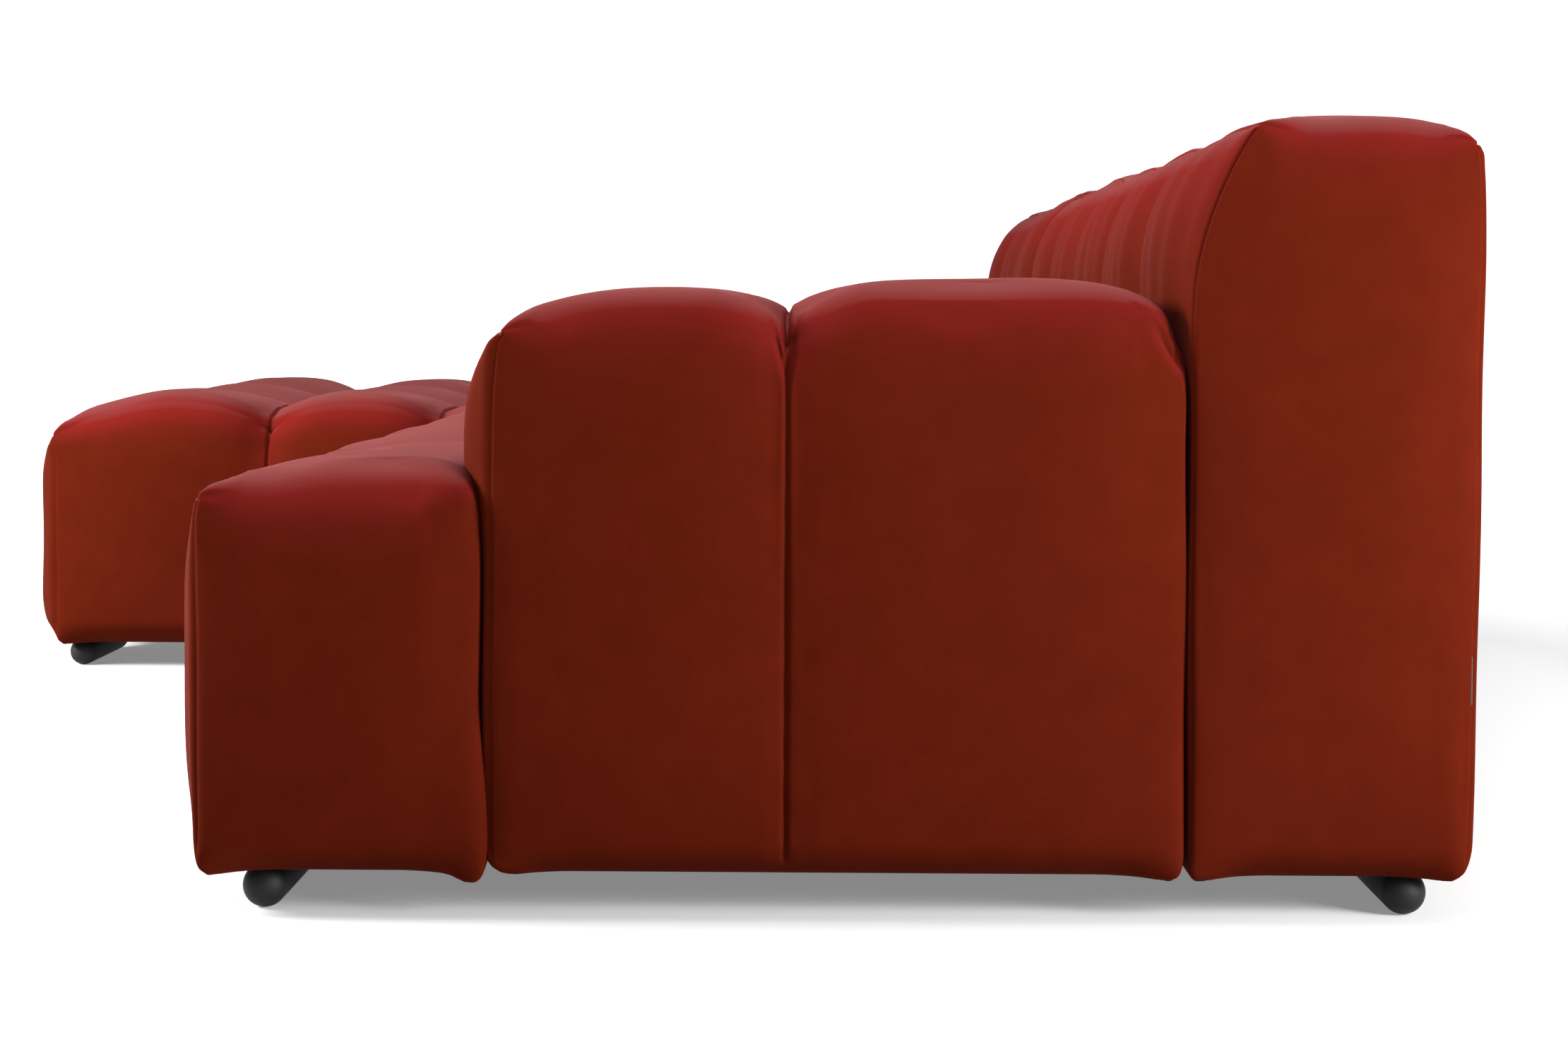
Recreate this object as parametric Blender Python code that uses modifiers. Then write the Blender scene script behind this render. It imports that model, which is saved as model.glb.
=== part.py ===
"""Lounge sofa with a chaise: six channel-quilted velvet blocks on timber frames and bolster feet.

Metres, +Z up. The length runs along X, with the arm at +X and the chaise at -X. The back is at +Y.
The origin is on the floor, under the middle of the sofa's box.
"""

import math
from dataclasses import dataclass

import bmesh
import bpy
from mathutils import Matrix, Vector
from mathutils.bvhtree import BVHTree

# Upholstered blocks: channels along the length, rows from front to back, heights from the floor
CHANNEL_WIDTH = 0.325
MAIN_CHANNELS = 5
CHAISE_CHANNELS = 3
ARM_WIDTH = 0.325
ARM_CHANNELS = 2
FRONT_ROW_DEPTH = 0.260
MIDDLE_ROW_DEPTH = 0.262
REAR_ROW_DEPTH = 0.352
BACK_DEPTH = 0.262
CHAISE_FRONT_ROW_DEPTH = 0.330
CHAISE_SECOND_ROW_DEPTH = 0.270
SEAT_HEIGHT = 0.390
ARM_HEIGHT = 0.545
BACK_HEIGHT = 0.700
HEM_HEIGHT = 0.030

# Back profile: the front rolls away towards the top, the rear leans in towards the hem
BACK_ROLL_DEPTH = 0.070
BACK_ROLL_HEIGHT = 0.200
BACK_REAR_LEAN = 0.017
BACK_LEAN_HEIGHT = 0.540

# Quilting: how far the cover dips at its edges and sewn seams
HEM_TUCK = 0.030
HEM_TUCK_HEIGHT = 0.050
LIP_HEIGHT = 0.090
CROWN_POWER = 2.4
FACE_POWER = 6.0

# Padding between the velvet's crown and the frame
PADDING_SIDE = 0.052
SEAT_PADDING_TOP = 0.075
ARM_PADDING_TOP = 0.090
BACK_PADDING_TOP = 0.140

# Timber frames, webbing and foam
BASE_HEIGHT = 0.040
DUST_COVER_THICKNESS = 0.0012
RAIL_THICKNESS = 0.030
RAIL_HEIGHT = 0.150
POST_DEPTH = 0.060
WEBBING_THICKNESS = 0.0025
WEBBING_STRAP = 0.060
WEBBING_PITCH = 0.200
ARM_FOAM_THICKNESS = 0.060

# Bolster feet
FOOT_RADIUS = 0.021
FOOT_LENGTH = 0.220
FOOT_FLAT = 0.001
FOOT_END_INSET = 0.030
FOOT_POCKET_MARGIN = 0.002
FOOT_STEPS = 16
FOOT_CAP_STEPS = 4

# Fasteners
STUD_RADIUS = 0.004
STUD_IN_FOOT = 0.024
STUD_IN_RAIL = 0.045
BOLT_RADIUS = 0.004
BOLT_HEAD_RADIUS = 0.010
BOLT_HEAD_HEIGHT = 0.006
BOLT_RISE = 0.075
BOLT_BITE = 0.024
FASTENER_STEPS = 10

# Woven tag in the rear seam of the arm end
TAG_HEIGHT = 0.042
TAG_WIDTH = 0.008
TAG_THICKNESS = 0.0012
TAG_RISE = 0.190
TAG_SEWN_IN = 0.004

# Gap between touching pieces, and how far a cutter passes the wall it cuts
CLEARANCE = 0.0003
OVERCUT = 0.010

MAIN_LENGTH = MAIN_CHANNELS * CHANNEL_WIDTH
CHAISE_WIDTH = CHAISE_CHANNELS * CHANNEL_WIDTH
ARM_END_X = (MAIN_LENGTH + CHAISE_WIDTH) / 2
ARM_X = ARM_END_X - ARM_WIDTH
JUNCTION_X = ARM_END_X - MAIN_LENGTH
CHAISE_END_X = JUNCTION_X - CHAISE_WIDTH

SEAT_DEPTH = FRONT_ROW_DEPTH + MIDDLE_ROW_DEPTH + REAR_ROW_DEPTH
CHAISE_REACH = CHAISE_FRONT_ROW_DEPTH + CHAISE_SECOND_ROW_DEPTH
REAR_Y = (CHAISE_REACH + SEAT_DEPTH + BACK_DEPTH) / 2
BACK_Y = REAR_Y - BACK_DEPTH
ROW_Y = BACK_Y - REAR_ROW_DEPTH
ARM_Y = ROW_Y - MIDDLE_ROW_DEPTH
SEAT_Y = ARM_Y - FRONT_ROW_DEPTH
CHAISE_ROW_Y = SEAT_Y - CHAISE_SECOND_ROW_DEPTH
CHAISE_Y = CHAISE_ROW_Y - CHAISE_FRONT_ROW_DEPTH

FRAME_BOTTOM = BASE_HEIGHT + DUST_COVER_THICKNESS + CLEARANCE
FRAME_TOP = FRAME_BOTTOM + RAIL_HEIGHT
BOLT_HEIGHT = FRAME_BOTTOM + BOLT_RISE

# Where the cover mesh is divided between two seams, and up its sides as shares of its height
CHANNEL_STEPS = (-0.82, -0.45, 0.0, 0.45, 0.82)
ROW_STEPS = (-0.75, 0.0, 0.75)
SIDE_STEPS = (0.5, 0.78)
BACK_SIDE_STEPS = (0.35, 0.7, 0.8, 0.9, 0.96)


@dataclass(frozen=True)
class Quilt:
    """Depths that the padded cover dips: on top at its edges and seams, on its faces, and at its top lip."""

    top_edge: float
    top_seam: float
    face_edge: float
    face_seam: float
    lip: float


SEAT_QUILT = Quilt(top_edge=0.020, top_seam=0.016, face_edge=0.012, face_seam=0.007, lip=0.013)
ARM_QUILT = Quilt(top_edge=0.028, top_seam=0.026, face_edge=0.012, face_seam=0.007, lip=0.018)
BACK_QUILT = Quilt(top_edge=0.014, top_seam=0.014, face_edge=0.010, face_seam=0.018, lip=0.008)


@dataclass(frozen=True)
class Block:
    """One upholstered block: its sewn lines along X and Y (ends included), its top and its padding."""

    name: str
    lines_x: tuple
    lines_y: tuple
    top: float
    quilt: Quilt
    padding_top: float
    side_steps: tuple = SIDE_STEPS
    rolled: bool = False

    @property
    def low(self):
        return Vector((self.lines_x[0] + CLEARANCE / 2, self.lines_y[0] + CLEARANCE / 2, HEM_HEIGHT))

    @property
    def high(self):
        return Vector((self.lines_x[-1] - CLEARANCE / 2, self.lines_y[-1] - CLEARANCE / 2, self.top))

    @property
    def cavity(self):
        """Low and high corners of the room that the frame and foam fill."""
        side = Vector((PADDING_SIDE, PADDING_SIDE, 0.0))
        low = self.low + side
        high = self.high - side - Vector((0.0, 0.0, self.padding_top))
        return low, high


def divided(start, end, count):
    """Evenly spaced lines from start to end, both included."""
    return tuple(start + (end - start) * step / count for step in range(count + 1))


MAIN_LINES = divided(JUNCTION_X, ARM_END_X, MAIN_CHANNELS)
SEAT_LINES = divided(JUNCTION_X, ARM_X, MAIN_CHANNELS - 1)
ARM_LINES = divided(ARM_X, ARM_END_X, ARM_CHANNELS)
CHAISE_LINES = divided(CHAISE_END_X, JUNCTION_X, CHAISE_CHANNELS)
CHAISE_ROWS = (CHAISE_Y, CHAISE_ROW_Y, SEAT_Y, ARM_Y, ROW_Y, BACK_Y)

SEAT_FRONT = Block("seat_front", MAIN_LINES, (SEAT_Y, ARM_Y), SEAT_HEIGHT, SEAT_QUILT, SEAT_PADDING_TOP)
SEAT_REAR = Block("seat_rear", SEAT_LINES, (ARM_Y, ROW_Y, BACK_Y), SEAT_HEIGHT, SEAT_QUILT, SEAT_PADDING_TOP)
ARM = Block("arm", ARM_LINES, (ARM_Y, ROW_Y, BACK_Y), ARM_HEIGHT, ARM_QUILT, ARM_PADDING_TOP)
MAIN_BACK = Block(
    "main_back", MAIN_LINES, (BACK_Y, REAR_Y), BACK_HEIGHT, BACK_QUILT, BACK_PADDING_TOP, BACK_SIDE_STEPS, True
)
CHAISE_SEAT = Block("chaise_seat", CHAISE_LINES, CHAISE_ROWS, SEAT_HEIGHT, SEAT_QUILT, SEAT_PADDING_TOP)
CHAISE_BACK = Block(
    "chaise_back", CHAISE_LINES, (BACK_Y, REAR_Y), BACK_HEIGHT, BACK_QUILT, BACK_PADDING_TOP, BACK_SIDE_STEPS, True
)
MAIN_BLOCKS = (SEAT_FRONT, SEAT_REAR, ARM, MAIN_BACK)
CHAISE_BLOCKS = (CHAISE_SEAT, CHAISE_BACK)
SEAT_BLOCKS = (SEAT_FRONT, SEAT_REAR, CHAISE_SEAT)
BACK_BLOCKS = (MAIN_BACK, CHAISE_BACK)


def clear_scene():
    """Remove every object that the scene starts with."""
    for obj in list(bpy.data.objects):
        bpy.data.objects.remove(obj, do_unlink=True)


def new_collection(name):
    """A collection linked to the scene."""
    collection = bpy.data.collections.new(name)
    bpy.context.scene.collection.children.link(collection)
    return collection


def principled(name, colour, roughness, metallic=0.0):
    """A Principled BSDF material."""
    material = bpy.data.materials.new(name)
    material.use_nodes = True
    shader = material.node_tree.nodes["Principled BSDF"]
    shader.inputs["Base Color"].default_value = (*colour, 1.0)
    shader.inputs["Roughness"].default_value = roughness
    shader.inputs["Metallic"].default_value = metallic
    return material


clear_scene()
SOFA = new_collection("lounge_sofa")
CUTTERS = new_collection("cutters")
ELEMENTS = {name: bpy.data.objects.new(name, None) for name in ("main_element", "chaise_element")}
for element in ELEMENTS.values():
    SOFA.objects.link(element)

VELVET = principled("red_velvet", (0.190, 0.010, 0.006), 0.85)
FOAM = principled("upholstery_foam", (0.800, 0.740, 0.520), 0.95)
TIMBER = principled("pine_frame", (0.560, 0.370, 0.200), 0.70)
WEBBING = principled("elastic_webbing", (0.050, 0.050, 0.055), 0.80)
CAMBRIC = principled("black_cambric", (0.015, 0.015, 0.016), 0.90)
FOOT_PLASTIC = principled("black_foot_plastic", (0.012, 0.011, 0.014), 0.45)
STEEL = principled("zinc_plated_steel", (0.620, 0.620, 0.640), 0.35, 1.0)
TAG_WEAVE = principled("black_woven_tag", (0.012, 0.012, 0.013), 0.85)


def element_of(block):
    """The empty that carries the block's pieces."""
    return ELEMENTS["chaise_element" if block in CHAISE_BLOCKS else "main_element"]


def add_part(name, mesh, material, parent):
    """A named part in the sofa's collection."""
    obj = bpy.data.objects.new(name, mesh)
    mesh.materials.append(material)
    SOFA.objects.link(obj)
    obj.parent = parent
    return obj


def add_cutter(name, mesh):
    """A hidden helper for Boolean cuts."""
    obj = bpy.data.objects.new(name, mesh)
    CUTTERS.objects.link(obj)
    obj.hide_render = True
    obj.display_type = "WIRE"
    return obj


def mesh_from(form, name):
    """Turn a bmesh into a mesh and free it."""
    mesh = bpy.data.meshes.new(name)
    form.to_mesh(mesh)
    form.free()
    return mesh


def box_mesh(name, *corner_pairs):
    """A mesh of one or more boxes, each from its low and high corners."""
    form = bmesh.new()
    for low, high in corner_pairs:
        low = Vector(low)
        high = Vector(high)
        place = Matrix.Translation((low + high) / 2) @ Matrix.Diagonal((*(high - low), 1.0))
        bmesh.ops.create_cube(form, size=1.0, matrix=place)
    return mesh_from(form, name)


def rod_mesh(name, *rods):
    """A mesh of one or more capped rods, each from its start, end and radius."""
    form = bmesh.new()
    for start, end, radius in rods:
        run = end - start
        place = Matrix.Translation((start + end) / 2) @ run.to_track_quat("Z", "Y").to_matrix().to_4x4()
        bmesh.ops.create_cone(
            form,
            cap_ends=True,
            segments=FASTENER_STEPS,
            radius1=radius,
            radius2=radius,
            depth=run.length,
            matrix=place,
        )
    return mesh_from(form, name)


def cut(target, cutter, solver="EXACT"):
    """Take the cutter's shape out of the target."""
    modifier = target.modifiers.new("cut_" + cutter.name, "BOOLEAN")
    modifier.operation = "DIFFERENCE"
    modifier.solver = solver
    modifier.object = cutter


def turned(name, profile, steps, material, parent, centre, axis):
    """A piece turned about its own Z, then laid along an axis.

    The profile is (radius, height) points that run down the outer side, from the top to the bottom.
    """
    mesh = bpy.data.meshes.new(name)
    edges = [(index, index + 1) for index in range(len(profile) - 1)]
    mesh.from_pydata([(radius, 0.0, height) for radius, height in profile], edges, [])
    obj = add_part(name, mesh, material, parent)
    obj.location = centre
    obj.rotation_mode = "QUATERNION"
    obj.rotation_quaternion = axis.to_track_quat("Z", "Y")
    screw = obj.modifiers.new("turn", "SCREW")
    screw.steps = steps
    screw.render_steps = steps
    screw.use_merge_vertices = True
    screw.merge_threshold = 0.00001
    return obj


# Quilted covers


def dip(place, lines, edge_depth, seam_depth, power):
    """Depth of the cover at a place: full on an edge or a sewn line, nothing midway between two."""
    cell = 0
    while cell < len(lines) - 2 and place > lines[cell + 1]:
        cell += 1
    start = lines[cell]
    end = lines[cell + 1]
    share = (2 * place - start - end) / (end - start)
    nearest = cell if share < 0 else cell + 1
    outer = nearest in (0, len(lines) - 1)
    return (edge_depth if outer else seam_depth) * min(abs(share), 1.0) ** power


def side_dip(block, height):
    """How far a side face is drawn in at this height: tucked under at the hem, rounded at the top lip."""
    tuck = max(0.0, 1.0 - (height - HEM_HEIGHT) / HEM_TUCK_HEIGHT)
    lip = max(0.0, 1.0 - (block.top - height) / LIP_HEIGHT)
    return HEM_TUCK * tuck**2 + block.quilt.lip * lip**2


def back_profile(block, point):
    """Move a back's point with its side profile: rolled front, leaning rear."""
    share = (point.y - block.low.y) / (block.high.y - block.low.y)
    roll = max(0.0, 1.0 - (block.top - point.z) / BACK_ROLL_HEIGHT)
    fall = max(0.0, 1.0 - (point.z - HEM_HEIGHT) / BACK_LEAN_HEIGHT)
    return (1.0 - share) * BACK_ROLL_DEPTH * roll**2 - share * BACK_REAR_LEAN * fall


def quilted(block, point):
    """The place on the puffed cover of a point on the block's plain box."""
    low = block.low
    high = block.high
    quilt = block.quilt
    moved = point.copy()
    if point.z > high.z - CLEARANCE:
        moved.z -= dip(point.x, block.lines_x, quilt.top_edge, quilt.top_seam, CROWN_POWER)
        moved.z -= dip(point.y, block.lines_y, quilt.top_edge, quilt.top_seam, CROWN_POWER)
    for axis, lines in ((0, block.lines_y), (1, block.lines_x)):
        middle = (low[axis] + high[axis]) / 2
        outward = (point[axis] - middle) / (high[axis] - middle)
        depth = dip(point[1 - axis], lines, quilt.face_edge, quilt.face_seam, FACE_POWER)
        moved[axis] -= outward * (depth + side_dip(block, point.z))
    if block.rolled:
        moved.y += back_profile(block, point)
    return moved


def steps_between(lines, steps):
    """The sewn lines inside a block and the places between them where its mesh is divided."""
    places = list(lines[1:-1])
    for start, end in zip(lines, lines[1:]):
        places += [(start + end) / 2 + (end - start) / 2 * step for step in steps]
    return places


def cover_mesh(block):
    """A box divided along its seams, then puffed between them."""
    low = block.low
    high = block.high
    form = bmesh.new()
    place = Matrix.Translation((low + high) / 2) @ Matrix.Diagonal((*(high - low), 1.0))
    bmesh.ops.create_cube(form, size=1.0, matrix=place)
    hem_steps = [HEM_HEIGHT + HEM_TUCK_HEIGHT * share for share in (0.3, 1.0)]
    heights = hem_steps + [HEM_HEIGHT + (block.top - HEM_HEIGHT) * share for share in block.side_steps]
    divisions = (
        (Vector((1, 0, 0)), steps_between(block.lines_x, CHANNEL_STEPS)),
        (Vector((0, 1, 0)), steps_between(block.lines_y, ROW_STEPS)),
        (Vector((0, 0, 1)), heights),
    )
    for normal, places in divisions:
        for distance in places:
            everything = form.verts[:] + form.edges[:] + form.faces[:]
            bmesh.ops.bisect_plane(form, geom=everything, plane_co=normal * distance, plane_no=normal)
    for vertex in form.verts:
        vertex.co = quilted(block, vertex.co.copy())
    mesh = mesh_from(form, block.name + "_cover")
    mesh.shade_smooth()
    return mesh


def add_cover(block, bolt_holes, pockets):
    """The quilted cover with its wadding, open underneath for the frame and foam."""
    cover = add_part(block.name + "_cover", cover_mesh(block), VELVET, element_of(block))
    low, high = block.cavity
    below = Vector((low.x, low.y, HEM_HEIGHT - OVERCUT))
    cavity = add_cutter(block.name + "_cavity", box_mesh(block.name + "_cavity", (below, high)))
    for cutter in (cavity, bolt_holes, pockets):
        cut(cover, cutter, "MANIFOLD")


# Frames, webbing, foam and dust covers


def room_of(block):
    """Low and high corners of the cavity, less the clearance that its pieces keep to the cover."""
    low, high = block.cavity
    gap = Vector((CLEARANCE, CLEARANCE, 0.0))
    return low + gap, high - gap - Vector((0.0, 0.0, CLEARANCE))


def bays(start, end, lines, rail):
    """Spans between rails of one thickness: one rail at each end, and one on every sewn line between."""
    faces = [start + rail]
    for line in lines[1:-1]:
        faces += [line - rail / 2, line + rail / 2]
    faces.append(end - rail)
    return list(zip(faces[::2], faces[1::2]))


def windows(start, end, strap, pitch):
    """Evenly spaced gaps between straps, as close to the pitch as whole gaps allow."""
    count = max(1, round((end - start - strap) / pitch))
    step = (end - start - strap) / count
    return [(start + strap + step * index, start + step * (index + 1)) for index in range(count)]


def add_dust_cover(block, stud_holes):
    """Black cambric under the frame."""
    low, high = room_of(block)
    bottom = (low.x, low.y, BASE_HEIGHT)
    top = (high.x, high.y, BASE_HEIGHT + DUST_COVER_THICKNESS)
    name = block.name + "_dust_cover"
    cover = add_part(name, box_mesh(name, (bottom, top)), CAMBRIC, element_of(block))
    cut(cover, stud_holes)


def add_cut_box(name, low, high, cut_sets, block):
    """A timber box with sets of bays cut through it."""
    frame = add_part(name, box_mesh(name, (low, high)), TIMBER, element_of(block))
    for index, boxes in enumerate(cut_sets):
        cutter_name = f"{name}_bays_{index}"
        cut(frame, add_cutter(cutter_name, box_mesh(cutter_name, *boxes)))
    return frame


def add_seat_frame(block):
    """Rails round the seat, with cross rails under its sewn lines."""
    low, high = room_of(block)
    low.z = FRAME_BOTTOM
    high.z = FRAME_TOP
    through = [
        ((start_x, start_y, low.z - OVERCUT), (end_x, end_y, high.z + OVERCUT))
        for start_x, end_x in bays(low.x, high.x, block.lines_x, RAIL_THICKNESS)
        for start_y, end_y in bays(low.y, high.y, block.lines_y, RAIL_THICKNESS)
    ]
    return add_cut_box(block.name + "_frame", low, high, [through], block)


def add_arm_frame(block):
    """A cage: a tall base ring, posts at the corners and the sewn line, and a top ring."""
    low, high = room_of(block)
    low.z = FRAME_BOTTOM
    high.z = high.z - ARM_FOAM_THICKNESS - CLEARANCE
    open_low = FRAME_TOP
    open_high = high.z - RAIL_THICKNESS
    span_x = (low.x + RAIL_THICKNESS, high.x - RAIL_THICKNESS)
    spans_y = bays(low.y, high.y, block.lines_y, RAIL_THICKNESS)
    across = [((low.x - OVERCUT, a, open_low), (high.x + OVERCUT, b, open_high)) for a, b in spans_y]
    along = [((span_x[0], low.y - OVERCUT, open_low), (span_x[1], high.y + OVERCUT, open_high))]
    through = [((span_x[0], a, low.z - OVERCUT), (span_x[1], b, high.z + OVERCUT)) for a, b in spans_y]
    return add_cut_box(block.name + "_frame", low, high, [across, along, through], block)


def post_front(block):
    """Front face of a back frame's posts."""
    return room_of(block)[1].y - POST_DEPTH


def add_back_frame(block):
    """A base ring under the foam, with posts and a top rail along its rear."""
    low, high = room_of(block)
    low.z = FRAME_BOTTOM
    spans_x = bays(low.x, high.x, block.lines_x, RAIL_THICKNESS)
    face_y = post_front(block)
    rail_top = high.z - RAIL_THICKNESS
    foam_room = [
        (
            (low.x - OVERCUT, low.y - OVERCUT, FRAME_TOP),
            (high.x + OVERCUT, face_y, high.z + OVERCUT),
        )
    ]
    between_posts = [((a, face_y - OVERCUT, FRAME_TOP), (b, high.y + OVERCUT, rail_top)) for a, b in spans_x]
    base_bays = [
        ((a, low.y + RAIL_THICKNESS, low.z - OVERCUT), (b, face_y, FRAME_TOP + OVERCUT)) for a, b in spans_x
    ]
    return add_cut_box(block.name + "_frame", low, high, [foam_room, between_posts, base_bays], block)


def add_seat_webbing(block):
    """Crossed elastic straps on a seat frame."""
    low, high = room_of(block)
    low.z = FRAME_TOP + CLEARANCE
    high.z = low.z + WEBBING_THICKNESS
    gaps = [
        ((start_x, start_y, low.z - OVERCUT), (end_x, end_y, high.z + OVERCUT))
        for start_x, end_x in windows(low.x, high.x, WEBBING_STRAP, WEBBING_PITCH)
        for start_y, end_y in windows(low.y, high.y, WEBBING_STRAP, WEBBING_PITCH)
    ]
    name = block.name + "_webbing"
    webbing = add_part(name, box_mesh(name, (low, high)), WEBBING, element_of(block))
    cut(webbing, add_cutter(name + "_gaps", box_mesh(name + "_gaps", *gaps)))


def add_back_webbing(block):
    """Crossed elastic straps on the front of a back frame's posts."""
    low, high = room_of(block)
    high.y = post_front(block) - CLEARANCE
    low.y = high.y - WEBBING_THICKNESS
    low.z = FRAME_TOP + CLEARANCE
    gaps = [
        ((start_x, low.y - OVERCUT, start_z), (end_x, high.y + OVERCUT, end_z))
        for start_x, end_x in windows(low.x, high.x, WEBBING_STRAP, WEBBING_PITCH)
        for start_z, end_z in windows(low.z, high.z, WEBBING_STRAP, WEBBING_PITCH)
    ]
    name = block.name + "_webbing"
    webbing = add_part(name, box_mesh(name, (low, high)), WEBBING, element_of(block))
    cut(webbing, add_cutter(name + "_gaps", box_mesh(name + "_gaps", *gaps)))


def add_foam(block, low, high):
    """A plain foam core between two corners."""
    name = block.name + "_foam"
    add_part(name, box_mesh(name, (low, high)), FOAM, element_of(block))


def add_seat_foam(block):
    """Foam from the webbing up to the padding."""
    low, high = room_of(block)
    low.z = FRAME_TOP + WEBBING_THICKNESS + 2 * CLEARANCE
    add_foam(block, low, high)


def add_back_foam(block):
    """Foam in front of the webbing, on the base ring."""
    low, high = room_of(block)
    low.z = FRAME_TOP + CLEARANCE
    high.y = post_front(block) - WEBBING_THICKNESS - 2 * CLEARANCE
    add_foam(block, low, high)


def add_arm_foam(block):
    """Foam on the arm's cage."""
    low, high = room_of(block)
    low.z = high.z - ARM_FOAM_THICKNESS
    add_foam(block, low, high)


# Feet


@dataclass(frozen=True)
class Foot:
    """A bolster foot: its name, its block and the middle of its axis."""

    name: str
    block: Block
    centre: Vector


def feet_under(block, prefix, rear):
    """Two feet under a block's front or rear rail, one near each end."""
    reach = PADDING_SIDE + CLEARANCE + RAIL_THICKNESS / 2
    y = block.high.y - reach if rear else block.low.y + reach
    from_end = FOOT_END_INSET + FOOT_LENGTH / 2
    z = FOOT_RADIUS - FOOT_FLAT
    places = (("arm_side", block.high.x - from_end), ("chaise_side", block.low.x + from_end))
    return [Foot(f"{prefix}_foot_{side}", block, Vector((x, y, z))) for side, x in places]


FEET = (
    feet_under(SEAT_FRONT, "main_front", False)
    + feet_under(MAIN_BACK, "main_rear", True)
    + feet_under(CHAISE_SEAT, "chaise_front", False)
    + feet_under(CHAISE_BACK, "chaise_rear", True)
)


def foot_profile():
    """Half outline of a rod with round ends, from its top pole to its bottom pole."""
    straight = FOOT_LENGTH / 2 - FOOT_RADIUS
    angles = [math.pi / 2 * step / FOOT_CAP_STEPS for step in range(FOOT_CAP_STEPS + 1)]
    upper = [(FOOT_RADIUS * math.sin(angle), straight + FOOT_RADIUS * math.cos(angle)) for angle in angles]
    lower = [(radius, -height) for radius, height in reversed(upper)]
    return upper + lower


def foot_pocket(foot):
    """Corners of the recess that a foot needs in the hem of its block."""
    half = Vector((FOOT_LENGTH / 2, FOOT_RADIUS, 0.0)) + Vector((FOOT_POCKET_MARGIN, FOOT_POCKET_MARGIN, 0.0))
    low = foot.centre - half
    high = foot.centre + half
    low.z = HEM_HEIGHT - OVERCUT
    high.z = BASE_HEIGHT
    return low, high


def stud_rod(foot, gap):
    """Start, end and radius of a foot's stud, grown by a gap."""
    top = BASE_HEIGHT + STUD_IN_RAIL + gap
    bottom = BASE_HEIGHT - STUD_IN_FOOT - gap
    x, y, _ = foot.centre
    return Vector((x, y, bottom)), Vector((x, y, top)), STUD_RADIUS + gap


def add_foot(foot, flats, stud_holes):
    """A bolster on its side, with a flat under its rail and a narrow one on the floor."""
    parent = element_of(foot.block)
    along = Vector((1, 0, 0))
    obj = turned(foot.name, foot_profile(), FOOT_STEPS, FOOT_PLASTIC, parent, foot.centre, along)
    for flat in flats:
        cut(obj, flat)
    cut(obj, stud_holes)
    stud_name = foot.name.replace("_foot_", "_foot_stud_")
    add_part(stud_name, rod_mesh(stud_name, stud_rod(foot, 0.0)), STEEL, parent)


# Bolts from block to block


@dataclass(frozen=True)
class Joint:
    """A bolt through two neighbouring rails: its head's block, its face and the way it points."""

    name: str
    block: Block
    face: Vector
    way: Vector


def channel_centre(lines, index):
    """Middle of a channel or row, counted from its first line."""
    return (lines[index] + lines[index + 1]) / 2


def joints_between():
    """Every bolt that joins a block to its neighbour."""
    back = Vector((0, 1, 0))
    front = Vector((0, -1, 0))
    chaise = Vector((-1, 0, 0))
    joints = []
    for index, side in ((0, "chaise_side"), (len(SEAT_LINES) - 2, "arm_side")):
        x = channel_centre(SEAT_LINES, index)
        joints.append(Joint(f"seat_front_bolt_{side}", SEAT_REAR, Vector((x, ARM_Y, BOLT_HEIGHT)), front))
        joints.append(Joint(f"main_back_bolt_{side}", SEAT_REAR, Vector((x, BACK_Y, BOLT_HEIGHT)), back))
    for index, side in ((0, "far_side"), (len(CHAISE_LINES) - 2, "main_side")):
        x = channel_centre(CHAISE_LINES, index)
        joints.append(Joint(f"chaise_back_bolt_{side}", CHAISE_SEAT, Vector((x, BACK_Y, BOLT_HEIGHT)), back))
    arm_x = (room_of(ARM)[0].x + RAIL_THICKNESS + ARM_LINES[1]) / 2
    joints.append(Joint("arm_front_bolt", ARM, Vector((arm_x, ARM_Y, BOLT_HEIGHT)), front))
    joints.append(Joint("arm_back_bolt", ARM, Vector((arm_x, BACK_Y, BOLT_HEIGHT)), back))
    row_y = channel_centre(ARM.lines_y, 0)
    joints.append(Joint("arm_seat_bolt", ARM, Vector((ARM_X, row_y, BOLT_HEIGHT)), chaise))
    seat_y = channel_centre(SEAT_FRONT.lines_y, 0)
    joints.append(Joint("chaise_seat_bolt", SEAT_FRONT, Vector((JUNCTION_X, seat_y, BOLT_HEIGHT)), chaise))
    base_bay_y = (room_of(MAIN_BACK)[0].y + RAIL_THICKNESS + post_front(MAIN_BACK)) / 2
    joints.append(Joint("chaise_rear_bolt", MAIN_BACK, Vector((JUNCTION_X, base_bay_y, BOLT_HEIGHT)), chaise))
    return joints


RAIL_FACE = CLEARANCE / 2 + PADDING_SIDE + CLEARANCE
HEAD_SEAT = RAIL_FACE + RAIL_THICKNESS + CLEARANCE
BOLT_TIP = RAIL_FACE + BOLT_BITE


def bolt_profile():
    """Half outline of a round-headed bolt, from the head's top to the tip."""
    return [
        (0.0, BOLT_HEAD_HEIGHT),
        (BOLT_HEAD_RADIUS, BOLT_HEAD_HEIGHT),
        (BOLT_HEAD_RADIUS, 0.0),
        (BOLT_RADIUS, 0.0),
        (BOLT_RADIUS, -HEAD_SEAT - BOLT_TIP),
        (0.0, -HEAD_SEAT - BOLT_TIP),
    ]


def bolt_hole(joint):
    """Start, end and radius of the hole for a bolt's shank."""
    start = joint.face - joint.way * (HEAD_SEAT + CLEARANCE)
    end = joint.face + joint.way * (BOLT_TIP + CLEARANCE)
    return start, end, BOLT_RADIUS + CLEARANCE


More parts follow.
